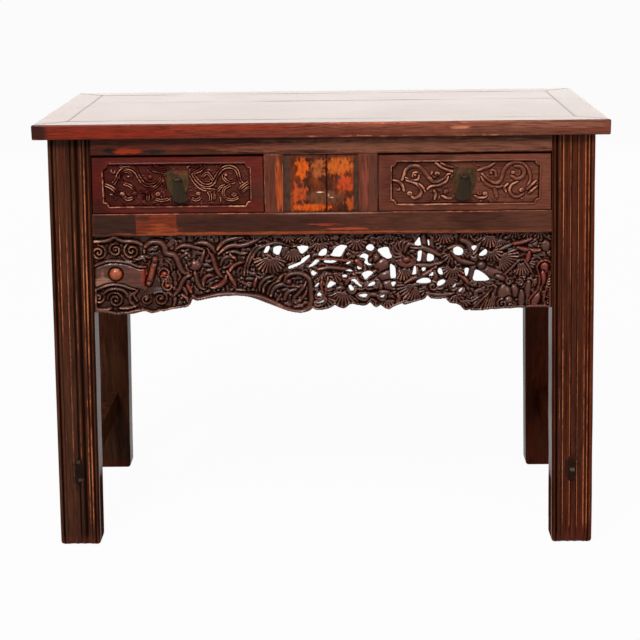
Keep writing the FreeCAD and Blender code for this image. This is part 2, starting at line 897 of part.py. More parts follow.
def drawer_side(side, inner):
    x0, x1, y0, y1, z0, z1 = side_block(inner)
    shape = block(side * x0, side * x1, y0, y1, z0, z1)
    x0, x1, y0, y1, z0, z1 = drawer_bottom_bounds()
    return shape.cut(block(*grown((side * x0, side * x1, y0, y1 + cut_overrun, z0, z1), drawer_fit)))


def drawer_back(side):
    y1 = drawer_rear_y - drawer_back_inset
    x0 = drawer_inner_x() + drawer_side_thickness + joint_gap
    x1 = drawer_outer_x() - drawer_side_thickness - joint_gap
    z0 = drawer_bottom_bounds()[5] + joint_gap
    z1 = box_floor() + drawer_side_height - tenon_shoulder
    return block(side * x0, side * x1, y1 - drawer_back_thickness, y1, z0, z1)


def drawer_bottom(side):
    x0, x1, y0, y1, z0, z1 = drawer_bottom_bounds()
    return block(side * x0, side * x1, y0, y1, z0, z1)


# Pulls


def pull_plate(side):
    """Back plate, drawn in towards its foot."""
    z1 = pull_pivot_z + plate_top_over_pivot
    z0 = z1 - plate_height
    half = plate_width / 2
    shoulder = (half, pull_pivot_z - plate_top_over_pivot / 2)
    foot = (plate_foot_width / 2, z0)
    waist = (plate_waist_width / 2, (shoulder[1] + z0) / 2)
    edge = [(half, z1), shoulder] + arc_through(shoulder, waist, foot, pull_facets)
    points = edge + [(-x, z) for x, z in edge[::-1]]
    y0 = field_floor_y - plate_thickness
    shape = plate_xz([(x - pull_x, z) for x, z in points], y0, field_floor_y)
    return mirrored(shape.cut(staple(-1, tenon_fit / 2)), side)


def pivot_y():
    """Depth of the staple's crossbar, where the pull turns."""
    return field_floor_y - plate_thickness - bail_reach


def staple(side, by):
    """Bent wire staple, driven through the plate and the drawer front."""
    half = bail_width / 2
    y = pivot_y()
    tail_y = drawer_front_y + drawer_front_thickness
    bend = bail_bend
    places = [(-half, tail_y), (-half, y + bend), (bend - half, y)]
    places += [(-x, place_y) for x, place_y in places[::-1]]
    path = [V(side * pull_x + x, place_y, pull_pivot_z) for x, place_y in places]
    section = Part.Wire(Part.makeCircle(bail_radius + by, path[0], V(0, 1, 0)))
    return Part.Wire(Part.makePolygon(path)).makePipeShell([section], True, False, 1)


def pull_tongue(side):
    """Pull that hangs from the staple, widening to a rounded foot and leaning a little."""
    bore = bail_radius + pull_bore_gap
    outer = bore + pull_curl_wall
    neck = pull_neck_width / 2
    half = pull_top_width / 2
    foot = pull_bottom_width / 2
    shoulder_z = -outer - pull_curl_wall
    widest_z = pull_bottom_width / 4 - pull_length
    middle_z = (shoulder_z + widest_z) / 2
    waists = [(pull_lean + way * pull_waist_width) / 2 for way in (-1, 1)]
    points = [(-half, shoulder_z), (-neck, -bore), (neck, -bore), (half, shoulder_z)]
    right_foot = (pull_lean + foot, widest_z)
    left_foot = (pull_lean - foot, widest_z)
    points += arc_through(points[-1], (waists[1], middle_z), right_foot, pull_facets)
    points += arc_through(right_foot, (pull_lean, -pull_length), left_foot, pull_facets)
    points += arc_through(left_foot, (waists[0], middle_z), points[0], pull_facets)[:-1]
    y = pivot_y()
    outline = [(x - pull_x, z + pull_pivot_z) for x, z in points]
    blade = plate_xz(outline, y - pull_thickness / 2, y + pull_thickness / 2)
    curl = Part.makeCylinder(outer, pull_neck_width, V(-pull_x - neck, y, pull_pivot_z), V(1, 0, 0))
    hole = Part.makeCylinder(bore, pull_bottom_width, V(-pull_x - foot, y, pull_pivot_z), V(1, 0, 0))
    return mirrored(joined(curl, [blade]).cut(hole), side)


# Apron: its drawing is on a grid of squares, counted from the middle and from the base
squares_to_end_share = 44
squares_high_share = 15.6
square_x = leg_inner(apron_base) / squares_to_end_share
square_z = apron_height / squares_high_share

lobe_shares = (
    ((-46.0, 0.5), (-43.6, 0.5), (-41.5, 0.4), (-39.8, 0.0), (-38.5, 0.2), (-37.0, 0.1),
     (-36.0, 0.3), (-35.2, 0.5), (-34.2, 0.7)),
    ((-34.2, 0.7), (-33.5, 0.4), (-33.0, 0.3), (-32.0, 0.4), (-31.2, 0.7)),
    ((-31.2, 0.7), (-30.5, 0.65), (-29.0, 1.0), (-28.0, 1.15), (-27.0, 1.3), (-26.1, 1.45),
     (-25.6, 1.8), (-25.3, 2.3), (-25.0, 3.0)),
    ((-25.0, 3.0), (-24.6, 2.8), (-24.0, 2.65), (-22.5, 2.95), (-20.0, 3.4), (-17.0, 3.6),
     (-15.0, 3.5), (-13.0, 3.0), (-11.0, 2.2), (-9.0, 1.4), (-7.0, 0.6), (-5.0, 0.15), (-4.0, 0.1),
     (-3.0, 0.3), (-2.3, 0.6), (-1.9, 1.0)),
    ((-1.9, 1.0), (-1.5, 0.75), (-1.0, 0.6), (0.0, 0.65), (1.0, 0.85), (1.8, 1.2), (2.4, 1.6)),
    ((2.4, 1.6), (3.0, 1.2), (3.5, 1.0), (4.0, 0.9), (4.5, 1.05), (4.9, 1.4), (5.2, 1.7)),
    ((5.2, 1.7), (5.9, 1.75), (6.5, 1.6), (7.1, 1.5), (8.0, 1.45), (8.5, 1.55), (8.8, 1.8),
     (9.1, 2.1)),
    ((9.1, 2.1), (9.5, 1.7), (9.8, 1.3), (10.3, 1.1), (10.7, 1.2), (11.15, 1.6)),
    ((11.15, 1.6), (11.5, 1.3), (11.9, 0.95), (12.4, 0.7), (13.0, 0.68), (13.4, 1.0), (14.0, 1.3),
     (15.3, 1.8)),
    ((15.3, 1.8), (15.65, 1.55), (16.0, 1.55), (17.5, 2.0), (18.5, 2.3), (19.5, 2.6), (20.2, 3.4)),
    ((20.2, 3.4), (20.5, 3.0), (21.0, 2.7), (22.0, 2.65), (22.5, 2.6), (23.5, 2.75), (23.9, 2.4),
     (24.5, 1.8), (25.7, 1.65), (26.5, 1.2), (26.8, 0.85), (27.25, 0.4), (27.8, 0.33),
     (28.25, 0.5)),
    ((28.25, 0.5), (28.6, 0.3), (29.5, 0.25), (30.5, 0.27), (32.5, 0.5), (35.0, 0.6), (38.0, 0.75),
     (41.0, 0.85), (44.0, 0.8), (46.0, 0.8)),
)

piercing_shares = (
    ((-11.2, 11.8), (-10.6, 11.7), (-10.1, 12.4), (-9.95, 13.2), (-10.5, 13.2), (-10.9, 12.5)),
    ((-9.3, 12.6), (-9.1, 13.0), (-8.3, 13.2), (-7.6, 13.1), (-7.8, 12.4), (-8.3, 11.3),
     (-8.9, 11.4), (-9.3, 11.8)),
    ((-4.7, 13.2), (-2.6, 13.2), (-2.8, 12.3), (-3.7, 11.5), (-4.1, 11.6), (-4.5, 12.4)),
    ((-6.5, 8.7), (-6.4, 9.2), (-5.5, 9.6), (-4.1, 10.1), (-3.9, 10.6), (-2.8, 11.3), (-2.3, 11.4),
     (-2.4, 10.9), (-3.5, 9.8), (-4.9, 9.0), (-6.3, 8.5)),
    ((-0.7, 11.2), (-0.5, 11.9), (0.2, 12.6), (0.9, 12.6), (0.9, 11.6), (0.5, 11.1), (-0.2, 11.0)),
    ((-2.8, 8.9), (-1.9, 9.8), (-1.2, 10.5), (-0.5, 10.5), (-0.7, 9.9), (-1.6, 9.2), (-2.4, 8.8)),
    ((0.5, 10.4), (2.9, 10.3), (2.8, 9.9), (2.0, 9.6), (0.5, 9.7)),
    ((1.5, 11.1), (2.0, 11.8), (2.4, 12.6), (3.2, 13.2), (4.1, 13.3), (4.9, 13.0), (4.4, 12.3),
     (3.9, 11.4), (3.4, 10.8)),
    ((4.5, 9.5), (4.8, 9.9), (5.4, 10.2), (5.6, 10.0), (5.3, 9.6), (4.9, 9.3)),
    ((7.0, 10.8), (7.9, 11.6), (8.9, 11.2), (8.7, 10.3), (8.9, 9.7), (9.6, 9.4), (9.4, 9.1),
     (8.8, 9.1), (8.0, 9.7), (8.3, 10.3), (7.6, 10.6)),
    ((8.4, 12.4), (8.6, 13.1), (9.2, 13.4), (9.7, 13.2), (10.0, 12.7), (9.8, 12.1), (9.2, 11.9)),
    ((10.6, 12.2), (11.3, 12.7), (12.6, 12.8), (12.9, 11.9), (13.3, 11.2), (13.3, 10.6),
     (12.5, 10.3), (11.3, 11.2)),
    ((6.7, 9.2), (7.1, 9.0), (7.6, 8.7), (7.5, 8.4), (6.9, 8.3)),
    ((7.5, 7.5), (8.0, 8.0), (8.9, 8.2), (9.6, 8.1), (9.8, 7.6), (8.9, 6.8), (8.3, 6.3),
     (7.8, 7.1)),
    ((4.3, 8.2), (4.8, 8.5), (5.3, 8.6), (5.7, 8.4), (6.0, 8.0), (5.3, 7.9)),
    ((3.8, 7.2), (4.0, 7.5), (4.9, 7.4), (4.7, 7.0), (4.2, 6.7)),
    ((0.9, 5.2), (1.3, 6.0), (1.7, 6.3), (2.7, 5.8), (2.0, 5.1), (1.1, 4.7)),
    ((-2.2, 7.9), (-1.8, 8.4), (-1.4, 8.1), (-0.9, 7.8), (-1.3, 7.4), (-1.8, 7.1)),
    ((-1.5, 5.1), (-1.2, 5.6), (-0.7, 5.95), (-0.55, 5.7), (-0.8, 5.3), (-1.3, 4.9)),
    ((-1.1, 3.3), (-0.9, 3.9), (-0.55, 4.2), (-0.2, 3.7), (-0.2, 3.2), (-0.8, 3.1)),
    ((-1.2, 2.1), (-0.5, 2.2), (0.5, 2.7), (0.3, 2.2), (-0.2, 1.85), (-0.8, 1.7), (-1.2, 1.8)),
    ((13.0, 9.4), (13.5, 9.3), (13.95, 8.9), (14.1, 7.8), (14.1, 6.6), (13.4, 6.5), (13.1, 6.8)),
    ((13.2, 6.0), (14.2, 5.95), (14.0, 5.3), (13.7, 4.9), (13.4, 5.1)),
    ((5.0, 5.2), (5.4, 5.5), (5.8, 5.1), (6.2, 4.6), (5.9, 4.2), (5.4, 4.2)),
    ((5.4, 6.3), (5.9, 6.7), (6.4, 6.6), (7.1, 5.8), (7.7, 5.2), (7.6, 4.9), (7.1, 5.0),
     (6.3, 5.7)),
    ((8.6, 5.3), (9.1, 5.8), (9.7, 6.1), (10.15, 6.0), (10.1, 5.4), (9.4, 5.0), (8.7, 5.0)),
    ((6.8, 3.4), (7.5, 3.7), (8.7, 3.7), (8.6, 3.2), (8.2, 2.75), (7.5, 2.9)),
    ((10.9, 3.1), (11.4, 3.4), (12.0, 3.5), (11.9, 3.0), (11.5, 2.7)),
    ((17.7, 13.6), (18.3, 14.4), (18.6, 14.8), (18.75, 13.9), (18.9, 12.9), (17.8, 12.95)),
    ((20.1, 14.3), (20.45, 13.9), (20.55, 12.9), (20.3, 13.0)),
    ((18.3, 11.9), (19.1, 12.0), (19.0, 10.8), (18.8, 9.8), (18.1, 10.0), (18.3, 10.8)),
    ((20.1, 11.4), (20.7, 11.4), (21.3, 11.1), (21.4, 10.4), (21.2, 9.9), (20.1, 9.8)),
    ((17.6, 9.0), (17.9, 9.0), (18.05, 7.3), (17.1, 7.3), (17.3, 7.8)),
    ((19.1, 8.8), (19.9, 8.75), (19.8, 8.2), (19.4, 7.8), (19.1, 8.2)),
    ((20.4, 7.2), (20.9, 7.7), (21.25, 7.9), (21.3, 7.0), (20.8, 6.9)),
    ((22.1, 8.0), (22.3, 8.6), (22.6, 8.7), (22.9, 8.3), (23.15, 7.2), (22.5, 7.2)),
    ((18.0, 5.9), (18.6, 6.4), (19.5, 6.75), (20.4, 6.6), (20.9, 6.0), (20.5, 5.5), (18.5, 5.5)),
    ((22.0, 5.4), (22.2, 6.0), (23.2, 6.4), (23.7, 5.9), (23.3, 5.3), (22.6, 4.9), (22.1, 5.0)),
    ((25.0, 12.4), (25.5, 12.8), (26.1, 12.8), (26.8, 12.3), (27.0, 11.6), (26.7, 11.0),
     (26.0, 10.9), (25.2, 11.3)),
    ((28.4, 12.9), (29.6, 12.9), (29.2, 12.0), (28.9, 11.8)),
    ((29.9, 11.1), (30.5, 11.8), (31.1, 12.3), (31.6, 11.6), (31.2, 10.9), (30.3, 10.7)),
    ((27.2, 8.5), (28.1, 8.5), (28.0, 7.5), (27.8, 6.9), (27.5, 6.9)),
    ((29.2, 8.2), (29.6, 8.2), (30.5, 7.8), (31.5, 7.0), (32.1, 6.0), (30.5, 5.8), (29.2, 5.9),
     (28.8, 6.5), (29.0, 7.4)),
    ((24.8, 4.7), (25.3, 5.4), (25.75, 5.8), (25.6, 5.0), (25.1, 4.6)),
    ((26.1, 3.8), (26.3, 4.5), (26.8, 4.8), (26.9, 4.3), (26.4, 3.7)),
)


def spot(place, y):
    """Point of the apron's drawing at a depth y."""
    return V(place[0] * square_x, y, apron_base + place[1] * square_z)


def apron_face(y):
    """Apron outline: straight above, scalloped along its base, wider than the gap between the legs."""
    places = [lobe_shares[0][0]]
    for lobe in lobe_shares:
        places += smooth(lobe, lobe_steps, False)[1:]
    points = [spot(place, y) for place in places]
    high = apron_top + lower_rail_height
    return polygon(points + [V(points[-1].x, y, high), V(points[0].x, y, high)])


def piercing(places, y0, y1):
    """Rounded hole through the apron."""
    points = [spot(place, y0) for place in smooth(places, piercing_steps, True)]
    return polygon(points).extrude(V(0, y1 - y0, 0))


def apron():
    """Scalloped and pierced apron, tongued into the lower rail and the legs."""
    y0 = front_y + apron_setback
    y1 = y0 + apron_thickness
    blank = apron_face(y0).extrude(V(0, apron_thickness, 0))
    low = apron_base - cut_overrun
    high = apron_top - joint_gap
    a = leg_inner(low) - joint_gap
    b = leg_inner(high) - joint_gap
    body = blank.common(plate_xz([(-a, low), (a, low), (b, high), (-b, high)], y0, y1))
    shape = joined(body, [apron_tongue(0)])
    holes = [piercing(points, y0 - cut_overrun, y1 + cut_overrun) for points in piercing_shares]
    return shape.cut(holes)


def build():
    nodes["top_front_member"] = long_member(-1)
    nodes["top_rear_member"] = long_member(1)
    nodes["top_board_front"] = top_board(False)
    nodes["top_board_rear"] = top_board(True)
    for name, x in zip(("left", "middle", "right"), batten_places()):
        nodes["top_batten_" + name] = top_batten(x)
    for y_side in (-1, 1):
        nodes[placed(y_side) + "_top_rail"] = top_rail(y_side)
        nodes[placed(y_side) + "_lower_rail"] = lower_rail(y_side)
    left_post, right_post = post_bounds(-1)
    nodes["divider_post_left"] = post(left_post[0], left_post[1], -1)
    nodes["divider_post_right"] = post(right_post[0], right_post[1], -1)
    rear_post = post_bounds(1)[0]
    nodes["rear_post"] = post(rear_post[0], rear_post[1], 1)
    nodes["centre_board_left"] = centre_board(True)
    nodes["centre_board_right"] = centre_board(False)
    nodes["apron_carved"] = apron()
    for side in (-1, 1):
        name = sided(side)
        nodes["top_end_member_" + name] = end_member(side)
        for y_side in (-1, 1):
            nodes["leg_" + placed(y_side) + "_" + name] = leg(side, y_side)
        nodes["rear_board_" + name] = rear_board(side)
        nodes["side_top_rail_" + name] = side_rail(side, opening_top, leg_height)
        nodes["side_lower_rail_" + name] = side_rail(side, apron_top, opening_bottom)
        nodes["side_board_" + name] = side_board(side, 0)
        nodes["side_stretcher_" + name] = side_stretcher(side)
        for place, (low, high, guide) in runner_places(side).items():
            nodes["drawer_runner_" + place + "_" + name] = drawer_runner(side, low, high, guide)
        nodes["drawer_kicker_" + name] = drawer_kicker(side)
        nodes["drawer_front_" + name] = drawer_front(side)
        nodes["drawer_side_outer_" + name] = drawer_side(side, False)
        nodes["drawer_side_inner_" + name] = drawer_side(side, True)
        nodes["drawer_back_" + name] = drawer_back(side)
        nodes["drawer_bottom_" + name] = drawer_bottom(side)
        nodes["pull_plate_" + name] = pull_plate(side)
        nodes["pull_staple_" + name] = staple(side, 0)
        nodes["pull_tongue_" + name] = pull_tongue(side)


build()
os.makedirs("parts", exist_ok=True)
for name, shape in nodes.items():
    shape.exportStep("parts/" + name + ".step")
    box = shape.BoundBox
    print(name, len(shape.Solids), shape.isValid(), round(shape.Volume), [round(v, 1) for v in (
        box.XMin, box.XMax, box.YMin, box.YMax, box.ZMin, box.ZMax)])
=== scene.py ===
import math

import bpy
import numpy as np
from mathutils import Matrix, Vector
from mathutils.geometry import delaunay_2d_cdt

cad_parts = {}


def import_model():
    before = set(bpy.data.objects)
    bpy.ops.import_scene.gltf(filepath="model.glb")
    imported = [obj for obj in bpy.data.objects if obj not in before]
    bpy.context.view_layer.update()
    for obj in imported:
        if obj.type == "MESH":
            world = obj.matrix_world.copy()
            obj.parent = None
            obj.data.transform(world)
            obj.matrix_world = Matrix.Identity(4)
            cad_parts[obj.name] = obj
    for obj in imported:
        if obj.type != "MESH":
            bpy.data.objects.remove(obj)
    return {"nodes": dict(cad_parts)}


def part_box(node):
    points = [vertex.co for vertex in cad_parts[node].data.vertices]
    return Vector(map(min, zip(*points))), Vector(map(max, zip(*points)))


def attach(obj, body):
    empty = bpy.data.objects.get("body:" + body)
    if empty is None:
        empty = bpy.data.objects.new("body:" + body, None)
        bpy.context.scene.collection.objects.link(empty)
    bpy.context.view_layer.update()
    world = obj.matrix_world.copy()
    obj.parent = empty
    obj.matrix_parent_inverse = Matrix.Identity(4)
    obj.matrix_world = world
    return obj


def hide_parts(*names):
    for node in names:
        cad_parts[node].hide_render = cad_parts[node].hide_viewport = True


# Looks of a Chinese altar table in worn red-brown lacquer, built round the packed
# model. Metres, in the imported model's frame: X along the front, Y to the back, Z up.

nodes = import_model()["nodes"]
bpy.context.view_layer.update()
scene = bpy.context.scene

# The view: a long lens, a little above the top and just right of the middle, as
# in the photograph. The frame is square, so the lens alone sets the field.
camera_place = Vector((0.0457, -2.8791, 1.2138))
camera_pitch = 0.2747
camera_yaw = -0.0192
camera_roll = -0.0133
camera_lens = 80.47
camera_sensor = 36


def placed(name, data):
    """New object for the data, in the scene."""
    made = bpy.data.objects.new(name, data)
    scene.collection.objects.link(made)
    return made


away = math.cos(camera_pitch)
ahead = Vector((math.sin(camera_yaw) * away, math.cos(camera_yaw) * away, -math.sin(camera_pitch)))
level = Vector((math.cos(camera_yaw), -math.sin(camera_yaw), 0))
upright = level.cross(ahead)
right = math.cos(camera_roll) * level + math.sin(camera_roll) * upright
up = math.cos(camera_roll) * upright - math.sin(camera_roll) * level
camera_data = bpy.data.cameras.new("camera")
camera_data.lens = camera_lens
camera_data.sensor_width = camera_sensor
camera = placed("camera", camera_data)
turned = Matrix((right, up, -ahead)).transposed().to_4x4()
camera.matrix_world = Matrix.Translation(camera_place) @ turned
scene.camera = camera
scene.view_settings.view_transform = "Standard"

# The studio: a white surround that shows white to the camera and in reflections
# but lights the table only softly, and a pale floor that keeps the shadow.
surround_light = 0.16
floor_grey = (0.40, 0.40, 0.39)
floor_size = 120
floor_glow = 0.96
table_middle = Vector((0, 0, 0.6))


def emptied(owner):
    """Node tree of a material or a world, emptied for a new graph."""
    owner.use_nodes = True
    owner.node_tree.nodes.clear()
    return owner.node_tree


def grow(tree, kind, inputs, out=0, **settings):
    """New shader node with its settings. Each input is a constant or the output that feeds
    it, and a colour gets its alpha. What comes back is one of the node's outputs."""
    node = tree.nodes.new("ShaderNode" + kind)
    for key, value in settings.items():
        setattr(node, key, value)
    for key, value in inputs.items():
        socket = node.inputs[key]
        if isinstance(value, bpy.types.NodeSocket):
            tree.links.new(value, socket)
        else:
            socket.default_value = (*value, 1) if socket.type == "RGBA" else value
    return node.outputs[out] if node.outputs else None


def seen_directly(tree):
    """Light Path sum that is 1 for camera, mirror and glass rays and 0 for the rest."""
    path = tree.nodes.new("ShaderNodeLightPath").outputs
    either = grow(tree, "Math", {0: path["Is Camera Ray"], 1: path["Is Glossy Ray"]}, operation="MAXIMUM")
    return grow(tree, "Math", {0: either, 1: path["Is Transmission Ray"]}, operation="MAXIMUM")


def soft_box(name, place, width, height, watts, tint=(1, 1, 1)):
    """Rectangular studio lamp at a place, facing the table's middle."""
    lamp = bpy.data.lights.new(name, "AREA")
    lamp.shape = "RECTANGLE"
    lamp.size = width
    lamp.size_y = height
    lamp.energy = watts
    lamp.color = tint
    holder = placed(name, lamp)
    holder.location = place
    holder.rotation_euler = (table_middle - Vector(place)).to_track_quat("-Z", "Y").to_euler()


scene.world = bpy.data.worlds.new("surround")
sky = emptied(scene.world)
dim = grow(sky, "Background", {"Color": (1, 1, 1), "Strength": surround_light})
white = grow(sky, "Background", {"Color": (1, 1, 1), "Strength": 1})
shown = grow(sky, "MixShader", {0: seen_directly(sky), 1: dim, 2: white})
grow(sky, "OutputWorld", {"Surface": shown})

floor_paint = bpy.data.materials.new("pale_floor")
paint = emptied(floor_paint)
matt = grow(paint, "BsdfDiffuse", {"Color": floor_grey})
glow = grow(paint, "Emission", {"Strength": 1})
amount = grow(paint, "Math", {0: seen_directly(paint), 1: floor_glow}, operation="MULTIPLY")
shown = grow(paint, "MixShader", {0: amount, 1: matt, 2: glow})
grow(paint, "OutputMaterial", {"Surface": shown})
floor_mesh = bpy.data.meshes.new("floor")
reach = floor_size / 2
floor_corners = [(-reach, -reach, 0), (reach, -reach, 0), (reach, reach, 0), (-reach, reach, 0)]
floor_mesh.from_pydata(floor_corners, [], [(0, 1, 2, 3)])
floor_mesh.materials.append(floor_paint)
placed("floor", floor_mesh)
soft_box("key_lamp", (-1.3, -2.7, 3.2), 1.1, 0.8, 125)
soft_box("fill_lamp", (2.4, -3.2, 1.6), 1.2, 1.2, 24)
soft_box("overhead_lamp", (0.1, -1.5, 3.2), 3.0, 1.4, 80)
soft_box("window_lamp", (0, 4.6, 1.7), 7.0, 2.6, 103, (1, 0.98, 0.92))

# Legs: four solid posts that splay sideways and stand upright from the side. The
# front pair has a reeded face; lacquer has worn through to orange wood along the
# reeds and the feet are rounded by long use.
leg_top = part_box("front_top_rail")[1].z
leg_outer_top = 0.509
leg_outer_foot = 0.533
leg_width = 0.080
leg_depth = 0.048
leg_front_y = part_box("front_top_rail")[0].y
leg_rear_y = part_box("rear_top_rail")[1].y
leg_arris = 0.0022
foot_round = 0.009
leg_rows = 0.004
band_width = 0.0065
groove_width = 0.003
groove_depth = 0.0022
reed_width = 0.006
reed_foot = 0.0018
hollow_width = 0.011
hollow_depth = 0.0026
inner_reed_width = 0.005
reed_step = 0.0006
plain_step = 0.004
tenon_middle_z = 0.159
tenon_height = 0.050
tenon_width = 0.018
tenon_sink = 0.0012
stretcher_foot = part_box("side_stretcher_left")[0].z
hidden_dull = 0.8
corner_points = 5
lattice_size = 32
thousandth = 0.001


def soft_noise(points, cell, seed):
    """Random numbers on a cubic lattice of the given cell, blended by smoothstep weights."""
    table = np.random.default_rng(seed).uniform(-1, 1, (lattice_size,) * 3)
    place = points / np.asarray(cell, float)
    base = np.floor(place).astype(int)
    part = place - base
    blend = part * part * (3 - 2 * part)
    total = np.zeros(points.shape[:-1])
    for corner in np.ndindex(2, 2, 2):
        near = np.where(np.array(corner) == 1, blend, 1 - blend)
        at = (base + np.array(corner)) % lattice_size
        total += near.prod(-1) * table[at[..., 0], at[..., 1], at[..., 2]]
    return total


def put(name, points, faces, material, body, node, marks, crease=40):
    """Mesh object from arrays of points and of polygons' corners, smooth except at creases."""
    mesh = bpy.data.meshes.new(name)
    mesh.vertices.add(len(points))
    mesh.vertices.foreach_set("co", np.asarray(points, np.float32).ravel())
    corners = np.concatenate([part.ravel() for part in faces]).astype(np.int32)
    counts = np.concatenate([np.full(len(part), part.shape[1]) for part in faces])
    mesh.loops.add(len(corners))
    mesh.loops.foreach_set("vertex_index", corners)
    mesh.polygons.add(len(counts))
    mesh.polygons.foreach_set("loop_start", (np.cumsum(counts) - counts).astype(np.int32))
    mesh.update(calc_edges=True)
    mesh.validate()
    for mark, values in marks.items():
        layer = mesh.attributes.new(mark, "FLOAT", "POINT")
        layer.data.foreach_set("value", np.asarray(values, np.float32).ravel())
    mesh.shade_smooth()
    mesh.set_sharp_from_angle(angle=math.radians(crease))
    mesh.materials.append(material)
    piece = placed(name, mesh)
    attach(piece, body)
    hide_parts(node)
    return piece


def spread(values, times):
    """Ring of values blurred by averaging each with its neighbours, a number of times."""
    for step in range(times):
        values = (np.roll(values, 1, axis=1) + 2 * values + np.roll(values, -1, axis=1)) / 4
    return values


def bar(name, node, near, far, rows, end_rounds, material, seed, waves=0.00012,
        dents=None, soil_and_shade=None, worn=None, blurs=10, stands=0.0006):
    """Closed bar whose skin is the straight lines from each point of loop near to loop far.

    Its ends are drawn in on a quarter circle, its faces wave a little, and each point
    is marked by how far it stands out from its neighbours: rub on ridges, and dirt with
    painted shade in hollows.
    """
    course = far.mean(0) - near.mean(0)
    length = np.linalg.norm(course)
    count = max(2, int(length / rows))
    turns = np.linspace(0, math.pi / 2, 4)
    first, last = end_rounds
    ends = (1 - np.cos(turns)) / length
    inset = 1 - np.sin(turns)
    run = np.linspace(first * ends[-1], 1 - last * ends[-1], count)[1:-1]
    along = np.concatenate([first * ends, run, 1 - last * ends[::-1]])
    drawn = np.concatenate([first * inset, np.zeros(count - 2), last * inset[::-1]])
    grid = near[None] + (far - near)[None] * along[:, None, None]
    middle = grid.mean(axis=1, keepdims=True)
    size = np.ptp(near, axis=0)
    across = np.arange(3) != np.argmax(np.abs(course))
    factor = 1 - 2 * drawn[:, None] / size[across]
    grid[..., across] = middle[..., across] + (grid - middle)[..., across] * factor[:, None]
    round_it = np.roll(grid, -1, axis=1) - np.roll(grid, 1, axis=1)
    outward = np.cross(round_it, (far - near)[None] / length)
    outward /= np.linalg.norm(outward, axis=-1, keepdims=True) + 1e-12
    if np.sum(outward * (grid - middle)) < 0:
        outward = -outward
    flipped = np.sum(np.cross(round_it, (far - near)[None]) * outward) > 0
    stand = np.sum((grid - spread(grid, blurs)) * outward, axis=-1)
    marks = {"rub_and_highlight": np.clip(stand / stands, 0, 1), "dirt_and_shade": np.clip(-stand / stands, 0, 1)}
    if worn:
        marks = worn(grid, **marks)
    # Extra marks: dirt along the top's joints, and a painted shadow under the top rail.
    if soil_and_shade:
        marks["dirt_and_shade"] = np.maximum(marks["dirt_and_shade"], soil_and_shade(grid))
        marks["rub_and_highlight"] = marks["rub_and_highlight"] * (1 - marks["dirt_and_shade"])
    grid = grid + outward * (soft_noise(grid, (0.09,) * 3, seed)[..., None] * waves)
    if dents:
        grid = grid + outward * dents(grid, marks["rub_and_highlight"])[..., None]
    index = np.arange(grid[..., 0].size).reshape(grid.shape[:2])
    here, beyond = index[:-1], index[1:]
    quads = np.stack([here, np.roll(here, -1, 1), np.roll(beyond, -1, 1), beyond], axis=-1).reshape(-1, 4)
    faces = [quads, index[:1, ::-1], index[-1:]]
    if not flipped:
        faces = [part[:, ::-1] for part in faces]
    put(name, grid.reshape(-1, 3), faces, material, "table", node, marks)


def ray(turn):
    """Points at distance 1 in the directions of the angles: their cosines and sines."""
    return np.stack([np.cos(turn), np.sin(turn)], -1)


def section(x0, x1, y0, y1, first, last, step):
    """Loop of a rectangle with evenly spaced points, its corners quarter circles: of one
    radius where x begins and of another where it ends."""
    right = math.pi / 2
    quarter = np.linspace(0, right, corner_points)
    arcs = [np.array((x, y)) + radius * ray(turn + quarter) for x, y, radius, turn in (
        (x0 + first, y0 + first, first, 2 * right), (x1 - last, y0 + last, last, -right),
        (x1 - last, y1 - last, last, 0), (x0 + first, y1 - first, first, right))]
    loop = []
    for arc, following in zip(arcs, arcs[1:] + arcs[:1]):
        way = following[0] - arc[-1]
        count = max(1, int(round(np.linalg.norm(way) / step)))
        loop += [arc[:-1], arc[-1] + way * np.linspace(0, 1, count, endpoint=False)[:, None]]
    return np.concatenate(loop)


def moulding_depth(x):
    """Depth of the reeded face at x: bands, grooves, reeds and hollows, each a circular hump."""
    half = [(band_width, 0), (groove_width, groove_depth), (reed_width, 0)]
    inner = [(inner_reed_width, 0)]
    used = hollow_width + 2 * sum(width for width, depth in half + inner)
    half = half + [((leg_width - used) / 2, hollow_depth)] + inner
    steps = half + [(hollow_width, hollow_depth)] + half[::-1]
    depth = np.zeros_like(x)
    start = 0
    for index, (width, middle) in enumerate(steps):
        share = (x - start) / width
        first = 0 if index < 2 else reed_foot
        last = 0 if index > len(steps) - 3 else reed_foot
        foot = first + (last - first) * share
        deep = foot + (middle - (first + last) / 2) * 4 * share * (1 - share)
        if 0 < index < len(steps) - 1:
            depth = np.where((share >= 0) & (share <= 1), deep, depth)
        start += width
    return depth


def patches(rows, y=None):
    """Blots for lacquer from rows in thousandths: middle, half sizes, colour, and then as
    they are the amount and the raggedness. With y, its middle and half size are left out."""
    full = [(x, y[0], z, wide, y[1], *rest) if y else (x, z, wide, *rest) for x, z, wide, *rest in rows]
    return [(*np.reshape(row[:9], (3, 3)) * thousandth, *row[9:]) for row in full]


